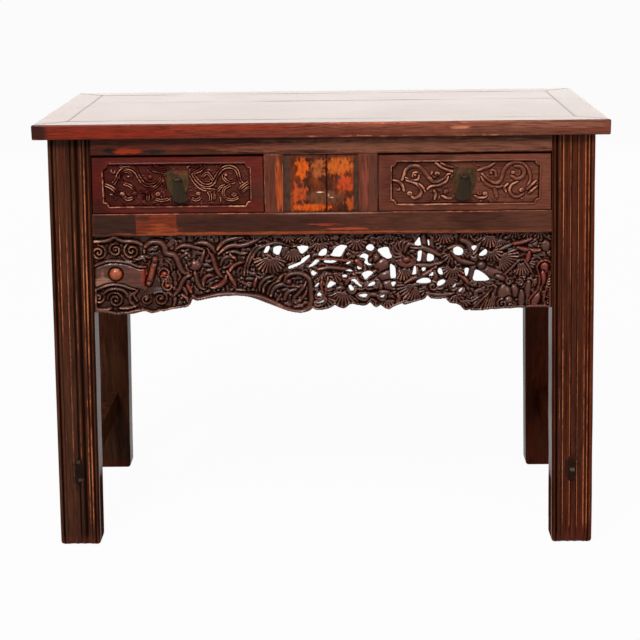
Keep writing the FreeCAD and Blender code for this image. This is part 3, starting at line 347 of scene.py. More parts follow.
def lacquer(name, ground, warm, worn, grain, rough=0.34, streak=0.5, wear=0.5, seed=0, gloss=0.10,
            red=None, fade=None, blots=(), tooth=0.35, cloudy=0.6):
    """Worn lacquer: ground colour streaked with a warmer one along the grain, rubbed
    through to the worn colour where the piece is marked rubbed; on the carving that
    mark also holds painted highlights in the worn colour. It is darker where the piece is
    marked for dirt and for painted shade, and matt where it is marked dull. Fade is a paler
    colour that the sun has brought on towards +X. Each blot is a patch of another colour:
    its middle, its half sizes, colour, amount, and how ragged an oval it is; with no
    raggedness it is a let-in piece with straight sides."""
    material = bpy.data.materials.new(name)
    tree = emptied(material)
    place = tree.nodes.new("ShaderNodeTexCoord").outputs["Object"]

    def mapped(scale, shift):
        return grow(tree, "Mapping", {"Vector": place, "Scale": scale, "Location": shift})

    def cloud(scale, size, shift, detail=6):
        vector = mapped(scale, (shift, shift * 2, shift * 3))
        looks = {"Vector": vector, "Scale": size, "Detail": detail, "Roughness": 0.6}
        return grow(tree, "TexNoise", looks, "Fac")

    def stepped(value, low, high, to_low=0, to_high=1):
        ends = {"From Min": low, "From Max": high, "To Min": to_low, "To Max": to_high}
        return grow(tree, "MapRange", {"Value": value, **ends}, "Result", interpolation_type="SMOOTHSTEP")

    def maths(operation, a, b):
        return grow(tree, "Math", {0: a, 1: b}, operation=operation)

    def mixed(share, a, b, blend="MIX"):
        return grow(tree, "Mix", {"Factor": share, 6: a, 7: b}, 2, data_type="RGBA", blend_type=blend)

    def marked(mark):
        return grow(tree, "Attribute", {}, "Fac", attribute_name=mark)

    def split(vector):
        node = tree.nodes.new("ShaderNodeSeparateXYZ")
        tree.links.new(vector, node.inputs[0])
        return node.outputs

    def dimmed(colour, share):
        return tuple(value * share for value in colour)

    along = {"X": (1, 14, 14), "Y": (14, 1, 14), "Z": (14, 14, 1), "patches": (6, 6, 3)}[grain]
    streaks = cloud(along, 5, seed)
    fine = cloud(along, 26, seed + 1)
    broad = cloud((1, 1, 1), 5, seed + 2, 4)
    specks = cloud((1, 1, 1), 90, seed + 3, 4)
    colour = mixed(stepped(streaks, 0.5 - streak / 2, 0.5 + streak / 2), ground, warm)
    if fade:
        aged = maths("MULTIPLY", stepped(split(place)[0], -0.5, 0.45), stepped(broad, 0.3, 0.6, 0.6, 1))
        colour = mixed(aged, colour, fade)
    colour = mixed(stepped(broad, 0.46, 0.68, 0, cloudy), colour, dimmed(ground, 0.42))
    if red:
        colour = mixed(maths("MULTIPLY", marked("red"), stepped(fine, 0.3, 0.6, 1, 0.55)), colour, red)
    for middle, halves, tint, amount, ragged in blots:
        offset = mapped(1 / halves, -middle / halves)
        if ragged:
            far = grow(tree, "VectorMath", {0: offset}, "Value", operation="LENGTH")
            uneven = maths("ADD", maths("MULTIPLY", fine, 1.6), maths("MULTIPLY", specks, 0.9))
            uneven = maths("MULTIPLY", maths("SUBTRACT", uneven, 1.25), ragged)
            within = stepped(maths("ADD", far, uneven), 0.70, 1.20, amount, 0)
        else:
            far = split(grow(tree, "VectorMath", {0: offset}, operation="ABSOLUTE"))
            far = maths("MAXIMUM", maths("MAXIMUM", far[0], far[1]), far[2])
            within = stepped(far, 0.97, 1.03, amount, 0)
        colour = mixed(within, colour, tint)
    colour = mixed(stepped(fine, 0.40, 0.66, 0, 0.75), colour, (0.40, 0.34, 0.32), "MULTIPLY")
    grainy = maths("ADD", stepped(fine, 0.3, 0.7, 0, 0.5), stepped(specks, 0.3, 0.7, 0, 0.3))
    # Worn-through colour on rubbed ridges, and painted highlights in the same colour on the carving.
    rubbed_and_highlit = maths("MULTIPLY", marked("rub_and_highlight"), stepped(broad, 0.34, 0.62, 0.45, 1))
    worn_through_and_highlight = stepped(maths("MULTIPLY", rubbed_and_highlit, maths("ADD", grainy, 0.35)), 0.75 - wear, 1.15 - wear)
    pale = tuple(min(1, value * 1.5 + 0.01) for value in worn)
    colour = mixed(worn_through_and_highlight, colour, mixed(specks, worn, pale))
    # Darkened for dirt and for painted shade, in hollows and under parts.
    colour = mixed(stepped(marked("dirt_and_shade"), 0.03, 0.8, 0, 0.95), colour, dimmed(ground, 0.22))

    uneven = maths("ADD", maths("MULTIPLY", fine, 0.5), maths("MULTIPLY", broad, 0.5))
    roughness = stepped(uneven, 0.3, 0.7, rough - 0.2 * tooth, rough + 0.34 * tooth)
    shine = stepped(maths("MAXIMUM", marked("dirt_and_shade"), marked("dull")), 0.05, 0.8, gloss, 0)
    raised = maths("ADD", maths("MULTIPLY", fine, 0.8), maths("MULTIPLY", specks, 0.2))
    raised = maths("SUBTRACT", raised, maths("MULTIPLY", worn_through_and_highlight, 0.15))
    bump = grow(tree, "Bump", {"Strength": tooth, "Distance": 0.0006, "Height": raised}, "Normal")
    skin = {"Base Color": colour, "Roughness": roughness, "Specular IOR Level": shine, "Normal": bump}
    grow(tree, "OutputMaterial", {"Surface": grow(tree, "BsdfPrincipled", skin)})
    return material


leg_lacquer = lacquer(
    "leg_lacquer", (0.032, 0.0090, 0.0040), (0.074, 0.028, 0.0135), (0.30, 0.088, 0.030), "Z", rough=0.28,
    wear=0.52, seed=3, gloss=0.07, fade=(0.070, 0.0165, 0.0066), red=(0.105, 0.017, 0.0055), blots=patches((
        (-488, 157, 12.5, 32, 14, 8, 6, 0.95, 2.2), (-489, 179, 3.5, 4, 70, 55, 42, 0.6, 1.6),
        (-484, 141, 6, 3, 70, 55, 42, 0.6, 2), (489, 158, 13, 30, 20, 10, 7, 0.95, 2.2),
        (489.5, 158, 4.2, 5, 130, 110, 100, 0.8, 1.4),
    ), (-250, 60)))


def leg_outer(z):
    """Distance of a leg's outer face from the middle at height z."""
    return leg_outer_foot + (leg_outer_top - leg_outer_foot) * z / leg_top


def leg_inner(z):
    """Distance of a leg's inner face from the middle at height z."""
    return leg_outer(z) - leg_width


def line_strength(across, lines):
    """Strongest of the lines at a distance across: each is a bell curve of its half width."""
    at, half, strength = np.reshape(lines, (-1, 3)).T
    return (strength * np.exp(-((across[..., None] / thousandth - at) / half) ** 2)).max(-1)


# Where each front leg is rubbed bright and where it is black: distance in from the outer
# face and half width in thousandths, and strength. The right leg is redder than the left.
bright_lines = {
    -1: (
        12.5, 0.8, 0.6, 17.5, 1, 0.95, 30.8, 0.9, 0.95, 46.2, 0.9, 0.95, 60.7, 1, 1.05, 67.2, 1.3, 1.2,
        76, 0.8, 0.5,
    ),
    1: (
        4.8, 1, 0.6, 11, 1.4, 1.1, 17.5, 1, 1.15, 30.5, 0.9, 1.2, 45, 0.9, 1.2, 58.3, 1, 1.15, 65, 1.4, 0.6,
    ),
}
dark_lines = {
    -1: (
        7.5, 2.2, 0.8, 15, 1, 0.5, 41.5, 2.4, 0.8, 53, 4.2, 0.85, 64, 1.2, 0.8, 70, 1, 0.7, 77.8, 2, 0.7,
    ),
    1: (
        7.8, 1, 0.4, 14, 1.2, 0.7, 24, 3, 0.35, 32.5, 1, 0.75, 43, 1.2, 0.85, 52, 2.6, 0.4, 56.2, 0.8, 0.6,
        61.2, 1, 0.7, 69.8, 1.8, 0.8, 77.5, 1.6, 0.7,
    ),
}
reddish = {-1: 0.45, 1: 0.9}


def stand_leg(side, front):
    """Leg from the floor to the top, with its foot rounded and the tenon's patch sunk."""
    loop = section(0, leg_width, 0, leg_depth, leg_arris, leg_arris, reed_step if front else plain_step)
    if front:
        loop[:, 1] += np.where(loop[:, 1] < leg_arris, moulding_depth(loop[:, 0]), 0)
    y = leg_front_y + loop[:, 1] if front else leg_rear_y - loop[:, 1]
    foot = np.stack([side * (leg_outer(0) - loop[:, 0]), y, np.zeros(len(loop))], -1)
    top = np.stack([side * (leg_outer(leg_top) - loop[:, 0]), y, np.full(len(loop), leg_top - 0.0003)], -1)

    def dents(grid, rub_and_highlight):
        """Tenon patch sunk into the face, and small losses along the arrises."""
        middle = leg_outer(tenon_middle_z) - leg_width / 2
        across = np.abs(np.abs(grid[..., 0]) - middle) < tenon_width / 2
        high = np.abs(grid[..., 2] - tenon_middle_z) < tenon_height / 2
        face = np.abs(grid[..., 1]) > abs(leg_front_y) - 0.006
        chips = np.clip(soft_noise(grid, (0.012, 0.012, 0.03), 5 + side) - 0.45, 0, 1) * rub_and_highlight
        fade = np.clip(1 - grid[..., 2] / 0.05, 0, 1) * 0.0012 * rub_and_highlight
        return np.where(across & high & face, -tenon_sink, 0) - chips * 0.0022 - fade

    def worn(grid, rub_and_highlight, dirt_and_shade):
        """Marks of a leg: its face is rubbed and blackened along its own lines, unevenly with
        the height, the foot is reddish, and what faces away from the room is a little darker;
        the rear legs are darkened all over with painted shade."""
        height = grid[..., 2]
        across = leg_outer(height) - np.abs(grid[..., 0])
        uneven = np.clip(0.95 + 0.6 * soft_noise(grid, (0.012, 0.05, 0.09), 43 + side), 0.35, 1.25)
        streaky = np.clip(0.4 + 1.1 * soft_noise(grid, (0.007, 0.05, 0.22), 47 + side), 0, 1)
        facing = front & (grid[..., 1] < leg_front_y + 0.007)
        low_part = np.interp(height, (0.02, 0.05, 0.16), (0.1, 0.45 if side < 0 else 1, 1))
        bright = line_strength(across, bright_lines[side]) * uneven * low_part
        foot = np.clip(1.2 - height / 0.022, 0, 1)
        black = line_strength(across, dark_lines[side]) * (1 - 0.7 * foot)
        below = np.interp(height, (stretcher_foot - 0.01, stretcher_foot + 0.03), (1, 0.4 if side < 0 else 0))
        dull = np.where(facing, 0, np.where(across > leg_width - 0.002, below, 0.3))
        # The rear legs' darkening of 0.3 all over is painted shade, for they stand in shadow.
        return {"rub_and_highlight": np.where(facing, np.maximum(bright, rub_and_highlight * 0.25), rub_and_highlight * (0.3 if front else 0.1)),
                "dirt_and_shade": np.where(facing, np.maximum(dirt_and_shade * 0.8, black), 0.1 if front else 0.3),
                "red": np.maximum(foot, streaky * reddish[side]),
                "dull": dull if front else np.full_like(dirt_and_shade, 0.45)}

    name = "leg_" + ("front" if front else "rear") + ("_left" if side < 0 else "_right")
    bar(name + "_skin", name, foot, top, leg_rows, (foot_round, 0.0008), leg_lacquer,
        11 + side, 0.0004, dents=dents, worn=worn, blurs=36 if front else 8, stands=0.0010)


for side in (-1, 1):
    stand_leg(side, True)
    stand_leg(side, False)


def recoat(name, material):
    """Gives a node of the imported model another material."""
    mesh = nodes[name].data
    mesh.materials.clear()
    mesh.materials.append(material)
    return mesh


# Stretchers between the front and rear leg of each side, tenoned right through
# the legs; only their ends and inner faces are seen from the front.
for name in ("side_stretcher_left", "side_stretcher_right"):
    mesh = recoat(name, leg_lacquer)
    layer = mesh.attributes.new("dull", "FLOAT", "POINT")
    layer.data.foreach_set("value", np.full(len(mesh.vertices), hidden_dull, np.float32))

# The case under the top: two long rails front and back, posts between them, and
# boards in grooves. All are the same worn lacquer over an orange-red wood.
case_lacquer = lacquer(
    "case_lacquer", (0.050, 0.0110, 0.0056), (0.096, 0.023, 0.0112), (0.24, 0.060, 0.024), "X", rough=0.28,
    wear=0.24, seed=7, gloss=0.09, fade=(0.085, 0.029, 0.016), blots=patches((
        (180, 803, 360, 13, 196, 71, 41, 0.84, 0.8), (-130, 658, 190, 17, 34, 11, 7, 0.8, 0.8),
        (-392, 800.5, 14, 7, 10, 6, 5, 0.95, 1.2), (-356, 798.5, 30, 5.2, 260, 22, 8, 0.9, 1.2),
        (-312, 799.5, 24, 8, 14, 9, 8, 0.95, 1.4), (-240, 806, 200, 6, 130, 26, 13, 0.6, 1.2),
        (-312.5, 657, 38.5, 19.5, 150, 27, 10, 0.9, 0), (-335, 670, 14, 5, 45, 14, 9, 0.9, 1.2),
        (-300, 650, 28, 9, 240, 44, 14, 0.7, 1.8), (-390.5, 657, 39.3, 19.5, 30, 11.2, 6.8, 0.92, 0),
        (10, 656, 30, 3, 300, 42, 18, 0.6, 1.4), (56, 646, 45, 2.8, 340, 60, 24, 0.8, 1.4),
        (-80, 640, 300, 2.6, 260, 50, 16, 0.8, 1.2), (260, 640, 200, 2.4, 220, 50, 22, 0.6, 1.2),
        (-120, 800, 80, 6, 170, 52, 30, 0.6, 1.2), (-20, 794, 50, 4, 20, 10, 8, 0.7, 1.2),
        # The last row is a painted highlight: a pale line along the top edge of the lower rail.
        (10, 676.5, 105, 1.1, 300, 230, 210, 0.6, 0.5),
    ), (-234, 50)))
post_lacquer = lacquer(
    "post_lacquer", (0.10, 0.021, 0.009), (0.15, 0.036, 0.015), (0.34, 0.10, 0.040), "Z", rough=0.30,
    wear=0.20, seed=9, gloss=0.09, fade=(0.11, 0.034, 0.020), blots=patches((
        (-78.5, 728, 7.5, 50, 360, 66, 16, 0.85, 1), (-93, 735, 8, 60, 85, 26, 16, 0.6, 1),
        (84, 735, 6, 45, 200, 45, 30, 0.6, 1.2), (98, 740, 8, 60, 60, 26, 16, 0.5, 1.2),
        (-88, 789.5, 15, 1.1, 360, 280, 260, 0.7, 0.5),
    ), (-234, 50)))
board_lacquer = lacquer(
    "board_lacquer", (0.064, 0.015, 0.006), (0.20, 0.038, 0.009), (0.24, 0.06, 0.018), "patches", rough=0.32,
    wear=0.10, seed=12, gloss=0.09, streak=0.22, blots=patches((
        (-41, 712, 14, 20, 400, 58, 12, 0.85, 1.8), (-34, 763, 12, 19, 520, 80, 8, 0.95, 1.6),
        (-17, 687, 38, 7.5, 500, 75, 8, 0.95, 1.4), (-4, 762, 14, 16, 360, 95, 26, 0.7, 1.8),
        (36, 766, 26, 18, 460, 95, 14, 0.9, 1.6), (45, 734, 16, 18, 420, 50, 12, 0.85, 1.7),
        (56, 695, 11, 15, 400, 66, 12, 0.8, 1.6), (6, 707, 34, 13.5, 125, 40, 17, 0.95, 0.8),
        (-39, 729, 4.8, 5.2, 45, 20, 18, 0.9, 1.2), (-40, 698, 4.2, 4.6, 45, 22, 16, 0.9, 1.2),
        (33, 744, 4, 4, 70, 28, 30, 0.9, 1.2), (44.5, 688, 1.8, 8.5, 12, 10, 8, 0.95, 0.9),
        (-64, 730, 7.5, 85, 50, 25, 17, 0.95, 0.5), (65.5, 730, 5.5, 85, 46, 22, 15, 0.95, 0.5),
        (0, 786, 65, 5.5, 95, 28, 16, 0.8, 1), (-1.5, 716.5, 8.5, 1.2, 620, 480, 420, 0.9, 0.5),
        (14, 710.5, 2, 3, 420, 280, 220, 0.6, 0.5), (19, 706.5, 4.5, 1.1, 500, 360, 300, 0.8, 0.5),
    ), (-231, 50)))
case_arris = 0.0016
board_arris = 0.0006
rail_depth = 0.030
shoulder_gap = 0.0001
bar_step = 0.003
bar_rows = 0.006
opening_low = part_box("front_lower_rail")[1].z
opening_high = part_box("front_top_rail")[0].z
centre_seam_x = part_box("centre_board_left")[1].x


def painted_gap_shadow(grid):
    """Painted shadow over the drawer openings: black under the top rail, gone within a few millimetres."""
    over = np.clip(1 - (grid[..., 2] - opening_high) / 0.0030, 0, 1) * (grid[..., 2] > opening_high - 0.002)
    return over * (np.abs(grid[..., 0]) > 0.105) * (grid[..., 1] < 0) * np.where(grid[..., 0] < 0, 1.0, 0.6)


def board_dirt_and_shade(grid, rub_and_highlight, dirt_and_shade):
    """Marks of the centre boards: grime along their seam, and painted shade along their top and bottom edges,
    in the corners of their frame.
    """
    seam = np.exp(-np.abs(grid[..., 0] - centre_seam_x) / 0.0012)
    frame = np.clip(1 - np.minimum(grid[..., 2] - opening_low, opening_high - grid[..., 2]) / 0.003, 0, 1)
    return {"rub_and_highlight": rub_and_highlight * 0, "dirt_and_shade": np.maximum(seam, frame * 0.7)}


def upright_bar(name, x0, z0, z1, arris, material, seed, worn=None):
    """Bar that stands along Z between two heights. It starts at x0 and ends with its node."""
    low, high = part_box(name)
    loop = section(x0, high.x, low.y, high.y, arris, arris, bar_step)
    near, far = [np.insert(loop, 2, z, axis=1) for z in (z0, z1)]
    bar(name + "_skin", name, near, far, bar_rows, (arris, arris), material, seed, worn=worn)


for place, y0 in (("front", leg_front_y), ("rear", leg_rear_y - rail_depth)):
    for storey, seed in (("top", 21), ("lower", 22)):
        name = f"{place}_{storey}_rail"
        low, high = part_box(name)
        y, z = section(y0, y0 + rail_depth, low.z, high.z, case_arris, case_arris, bar_step).T
        near, far = [np.stack([hand * (leg_inner(z) - shoulder_gap), y, z], -1) for hand in (-1, 1)]
        # The rails carry a painted shadow under the top rail, over the drawer openings.
        bar(name + "_skin", name, near, far, bar_rows, (case_arris, case_arris), case_lacquer,
            seed, soil_and_shade=painted_gap_shadow)
for name in ("divider_post_left", "divider_post_right", "rear_post"):
    upright_bar(name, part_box(name)[0].x, opening_low + shoulder_gap, opening_high - shoulder_gap, case_arris,
                post_lacquer, 31)
for name in ("centre_board_left", "centre_board_right"):
    low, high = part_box(name)
    x0 = min(low.x, max(centre_seam_x, low.x - thousandth))
    upright_bar(name, x0, low.z, high.z, board_arris, board_lacquer, 33, board_dirt_and_shade)
for name in ("side_top_rail", "side_lower_rail", "side_board", "rear_board"):
    recoat(name + "_left", case_lacquer)
    recoat(name + "_right", case_lacquer)

# The top: four mitred members round two boards, all flush under a glossy coat. Each is
# planed and eased on its own, so the joints show as fine lines where dirt has gathered.
top_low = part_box("top_front_member")[0]
top_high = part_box("top_rear_member")[1]
long_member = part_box("top_front_member")[1].y - top_low.y
end_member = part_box("top_end_member_left")[1].x - top_low.x
inner_x = top_high.x - end_member
inner_y = top_high.y - long_member
board_seam_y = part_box("top_board_front")[1].y
joint_gap = 0.00003
mitre_round = 0.0006
joint_arris = 0.0007
outer_arris = 0.0028
soil_reach = 0.0035
# The first blot gives the whole top face a duller colour than the top's edges: painted shade that offsets the
# overhead lamp.
top_blots = patches((
    (0, 0, 850.6, 600, 300, 1.4, 88, 24, 14, 0.8, 0),
    (256, -250, 839.5, 20, 20, 4.2, 480, 170, 95, 0.75, 1.2),
    (-380, -250, 833, 130, 20, 6, 185, 16, 6, 0.8, 1.2),
    (-160, -250, 842, 120, 20, 5, 215, 28, 11, 0.7, 1.2), (-527, -250, 834, 20, 50, 20, 20, 7, 5, 0.9, 1),
    (60, -250, 828, 160, 20, 3.5, 85, 14, 8, 0.6, 1.2), (400, -250, 828, 140, 20, 3.5, 90, 30, 17, 0.6, 1.2),
    (180, -250, 845, 200, 20, 5, 220, 62, 34, 0.7, 1.2), (450, -250, 842, 100, 20, 6, 210, 80, 50, 0.7, 1.2),
    (508, 100, 850, 6, 50, 10, 50, 14, 8, 0.9, 0.6), (20, -140, 850, 12, 12, 10, 140, 40, 20, 0.8, 0.8),
    (-490, 150, 850, 10, 30, 10, 100, 30, 20, 0.8, 0.8),
))
top_lacquer, end_lacquer = [
    lacquer(name, (0.108, 0.0108, 0.0052), (0.162, 0.021, 0.0088), (0.34, 0.09, 0.045), grain, rough=0.26,
            wear=0.16, seed=seed, fade=(0.165, 0.056, 0.031), blots=top_blots, tooth=0.05, cloudy=0.25)
    for name, grain, seed in (("top_lacquer", "X", 15), ("end_lacquer", "Y", 17))]


def mitre_x(y):
    """Distance from the middle to the mitre at depth y: it runs from the corner to the inner corner."""
    return top_high.x - np.clip(np.minimum(y - top_low.y, top_high.y - y) / long_member, 0, 1) * end_member


def mitre_y(x):
    """Depth of the mitre's line, from the middle, at a distance x from the middle."""
    return top_high.y - (top_high.x - np.abs(x)) / end_member * long_member


def joint_soil(grid):
    """Dirt along the joints of the top: one at each joint line, fading within a few millimetres."""
    x, y = np.abs(grid[..., 0]), grid[..., 1]
    within = x < inner_x
    nearest = np.minimum.reduce([
        np.where(np.abs(y) < inner_y, np.abs(x - inner_x), 1),
        np.where(within, np.abs(np.abs(y) - inner_y), 1),
        np.where((x > inner_x) & (np.abs(y) > inner_y), np.abs(x - mitre_x(y)), 1),
        np.where(within, np.abs(y - board_seam_y), 1)])
    return 0.6 * np.exp(-nearest / soil_reach) * np.clip((grid[..., 2] - top_high.z + 0.003) / 0.001, 0, 1)


for name, low, high, first, last, seed in (
    ("top_front_member", top_low.y, -inner_y - joint_gap, outer_arris, joint_arris, 51),
    ("top_rear_member", inner_y + joint_gap, top_high.y, joint_arris, outer_arris, 52),
    ("top_board_front", -inner_y + joint_gap, board_seam_y - joint_gap, joint_arris, joint_arris, 53),
    ("top_board_rear", board_seam_y + joint_gap, inner_y - joint_gap, joint_arris, joint_arris, 54),
    ("top_end_member_left", top_low.x, -inner_x - joint_gap, outer_arris, joint_arris, 55),
    ("top_end_member_right", inner_x + joint_gap, top_high.x, joint_arris, outer_arris, 56),
):
    across, z = section(low, high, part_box(name)[0].z, top_high.z, first, last, bar_step).T
    turned = "end" in name
    half = mitre_y(across) if turned else mitre_x(across)
    half = np.where("board" in name, inner_x, half) - joint_gap
    order = (1, 0, 2) if turned else (0, 1, 2)
    near, far = [np.stack([hand * half, across, z], -1)[:, order] for hand in (-1, 1)]
    bar(name, name, near, far, bar_rows, (mitre_round, mitre_round), end_lacquer if turned else top_lacquer,
        seed, 0.00025, soil_and_shade=joint_soil)

# Apron: one plank under the lower rail, pierced with a fret saw and carved in deep relief
# with cloud scrolls, grasses, a rolled leaf, pines, beasts and rocks. Lacquer is left in
# the hollows, which are darkened further with painted shade, and the ridges are rubbed to
# the wood, with painted highlights along their crests and on the dish's rim.
apron_low, apron_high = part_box("apron_carved")
carving_cell = 0.00115
carving_depth = 0.0088
trench_depth = 0.0045
trench_width = 0.0022
carved_edge = 0.0018
snap_reach = 0.55 * carving_cell
ground_level = 0.0008
ground_wave = 0.0006
low_ground_top = 0.0034
line_spacing = 0.0016
relief_range = (0.0001, 0.0102)
bead_top = 0.53
bead_foot = 0.0066
bead_hump = 0.0016
bead_middle = 0.0023
bead_half = 0.0024
sliver_area = 1e-9
sheet_unit = 0.00031
ribbon_level = 8.5
form_level = 7.2
low_level = 5.6
carving_sheets = {
    "left": (-0.4425, 0.6447, 0.316, 0.0187, 0.328, 0.003),
    "right": (-0.0064, 0.6483, 0.314, 0.0043, 0.3268, 0.003),
}


def drawn_edges(mesh, y):
    """Edges that bound a mesh's flat face at y, as pairs of x and z: those of its triangles
    there that no other triangle shares."""
    places = np.zeros(len(mesh.vertices) * 3)
    mesh.vertices.foreach_get("co", places)
    places = places.reshape(-1, 3)
    mesh.calc_loop_triangles()
    corners = np.zeros(len(mesh.loop_triangles) * 3, np.int32)
    mesh.loop_triangles.foreach_get("vertices", corners)
    corners = corners.reshape(-1, 3)
    flat = corners[np.all(np.abs(places[corners][..., 1] - y) < 0.00002, axis=1)]
    points, same = np.unique(np.round(places[:, [0, 2]], 6), axis=0, return_inverse=True)
    flat = same.ravel()[flat]
    edges = np.sort(flat[:, [[0, 1], [1, 2], [2, 0]]].reshape(-1, 2), axis=1)
    edges, times = np.unique(edges, axis=0, return_counts=True)
    return points[edges[times == 1]]


def inside_distance(x, z, edges):
    """Distance to the nearest edge, positive inside: where a line to the right crosses an odd number."""
    nearest = np.full(x.shape, 1.0)
    inside = np.zeros(x.shape, bool)
    for (x0, z0), (x1, z1) in edges:
        run, climb = x1 - x0, z1 - z0
        share = np.clip(((x - x0) * run + (z - z0) * climb) / (run * run + climb * climb + 1e-18), 0, 1)
        nearest = np.minimum(nearest, (x - x0 - share * run) ** 2 + (z - z0 - share * climb) ** 2)
        if climb:
            inside ^= ((z0 > z) != (z1 > z)) & (x < x0 + (z - z0) / climb * run)
    return np.where(inside, 1, -1) * np.sqrt(nearest)


def closed_edges(loop):
    """Edges of a closed loop of points."""
    return np.stack([loop, np.roll(loop, -1, axis=0)], 1)


def softened(field, times):
    """Grid of values averaged with its neighbours a number of times, its rim repeated."""
    for step in range(times):
        longer = np.pad(field, ((1, 1), (0, 0)), "edge")
        field = (longer[:-2] + 2 * field + longer[2:]) / 4
        longer = np.pad(field, ((0, 0), (1, 1)), "edge")
        field = (longer[:, :-2] + 2 * field + longer[:, 2:]) / 4
    return field


def bow(share):
    """Height of a quarter circle whose foot is at 1 and whose crown is at 0."""
    return np.sqrt(np.clip(1 - share ** 2, 0, 1))


def carved_slab(name, node, x, z, front, keep, back_y, material, body, marks):
    """Closed slab with a relief for its face: a grid of x, y and z in front, a flat back.

    Cells with four kept corners become quads and with three a triangle. Each edge that
    one cell alone uses gets a wall to the back, and the back is triangulated inside them.
    """
    index = np.arange(x.size).reshape(x.shape)
    ring = np.stack([index[:-1, :-1], index[:-1, 1:], index[1:, 1:], index[1:, :-1]], -1).reshape(-1, 4)
    held = keep.ravel()[ring]
    quads = ring[held.all(1)]
    three = ring[held.sum(1) == 3]
    missing = (~keep.ravel()[three]).argmax(1)
    triangles = np.take_along_axis(three, (missing[:, None] + np.arange(1, 4)) % 4, 1)
    used, flat = np.unique(np.concatenate([quads.ravel(), triangles.ravel()]), return_inverse=True)
    quads = flat[:quads.size].reshape(-1, 4)
    triangles = flat[quads.size:].reshape(-1, 3)
    face = np.stack([x.ravel()[used], front.ravel()[used], z.ravel()[used]], -1)
    sides = np.concatenate([np.stack([part, np.roll(part, -1, 1)], -1).transpose(1, 0, 2).reshape(-1, 2)
                            for part in (quads, triangles)])
    key = sides.min(1).astype(np.int64) * len(used) + sides.max(1)
    first, times = np.unique(key, return_index=True, return_counts=True)[1:]
    lip = sides[first[times == 1]]
    rim, local = np.unique(lip.ravel(), return_inverse=True)
    local = local.reshape(-1, 2)
    flat_points = [Vector((px, pz)) for px, pz in face[rim][:, [0, 2]]]
    made = delaunay_2d_cdt(flat_points, local.tolist(), [], 0, 1e-7)
    spots, cells, origin = np.array(made[0]), np.array(made[2]), made[3]
    middles = spots[cells].mean(1)
    area = np.cross(spots[cells[:, 1]] - spots[cells[:, 0]], spots[cells[:, 2]] - spots[cells[:, 0]])
    within = inside_distance(middles[:, 0], middles[:, 1], face[lip][:, :, [0, 2]]) > 0
    within = within & (np.abs(area) > sliver_area)
    cells = np.where(area[within, None] > 0, cells[within, ::-1], cells[within])
    follow = np.zeros(len(rim), int)
    times = [len(part) for part in origin]
    follow[np.concatenate(origin).astype(int)] = np.repeat(np.arange(len(origin)), times)
    start = len(face)
    back = np.insert(spots, 1, back_y, axis=1)
    walls = np.stack([lip[:, 1], lip[:, 0], start + follow[local[:, 0]], start + follow[local[:, 1]]], -1)
    faces = [part for part in (quads, triangles, walls, start + cells) if len(part)]
    behind = np.zeros(len(back))
    laid = {mark: np.concatenate([np.asarray(field).ravel()[used], behind]) for mark, field in marks.items()}
    laid["dull"] = np.concatenate([np.zeros(start), behind + hidden_dull])
    put(name, np.concatenate([face, back]), faces, material, body, node, laid, 62)


def sheet(side, *points):
    """Points on a drawing sheet, in thousandths across and down, as x and z on the apron."""
    left, top, across, lean, down, fall = carving_sheets[side]
    u, v = np.reshape(points, (-1, 2)).T * thousandth
    return np.stack([left + across * u - lean * v, top - fall * u - down * v], -1)


def curve_through(points, steps=5):
    """Smooth path through the points: on each stretch the cubic that its four nearest points set."""
    longer = np.concatenate([2 * points[:1] - points[1:2], points, 2 * points[-1:] - points[-2:-1]])
    t = np.linspace(0, 1, steps, endpoint=False)[None, :, None]
    a, b, c, d = [longer[k:len(longer) - 3 + k, None] for k in range(4)]
    path = (2 * b + (c - a) * t + (2 * a - 5 * b + 4 * c - d) * t ** 2 + (3 * b - a - 3 * c + d) * t ** 3) / 2
    return np.concatenate([path.reshape(-1, 2), points[-1:]])


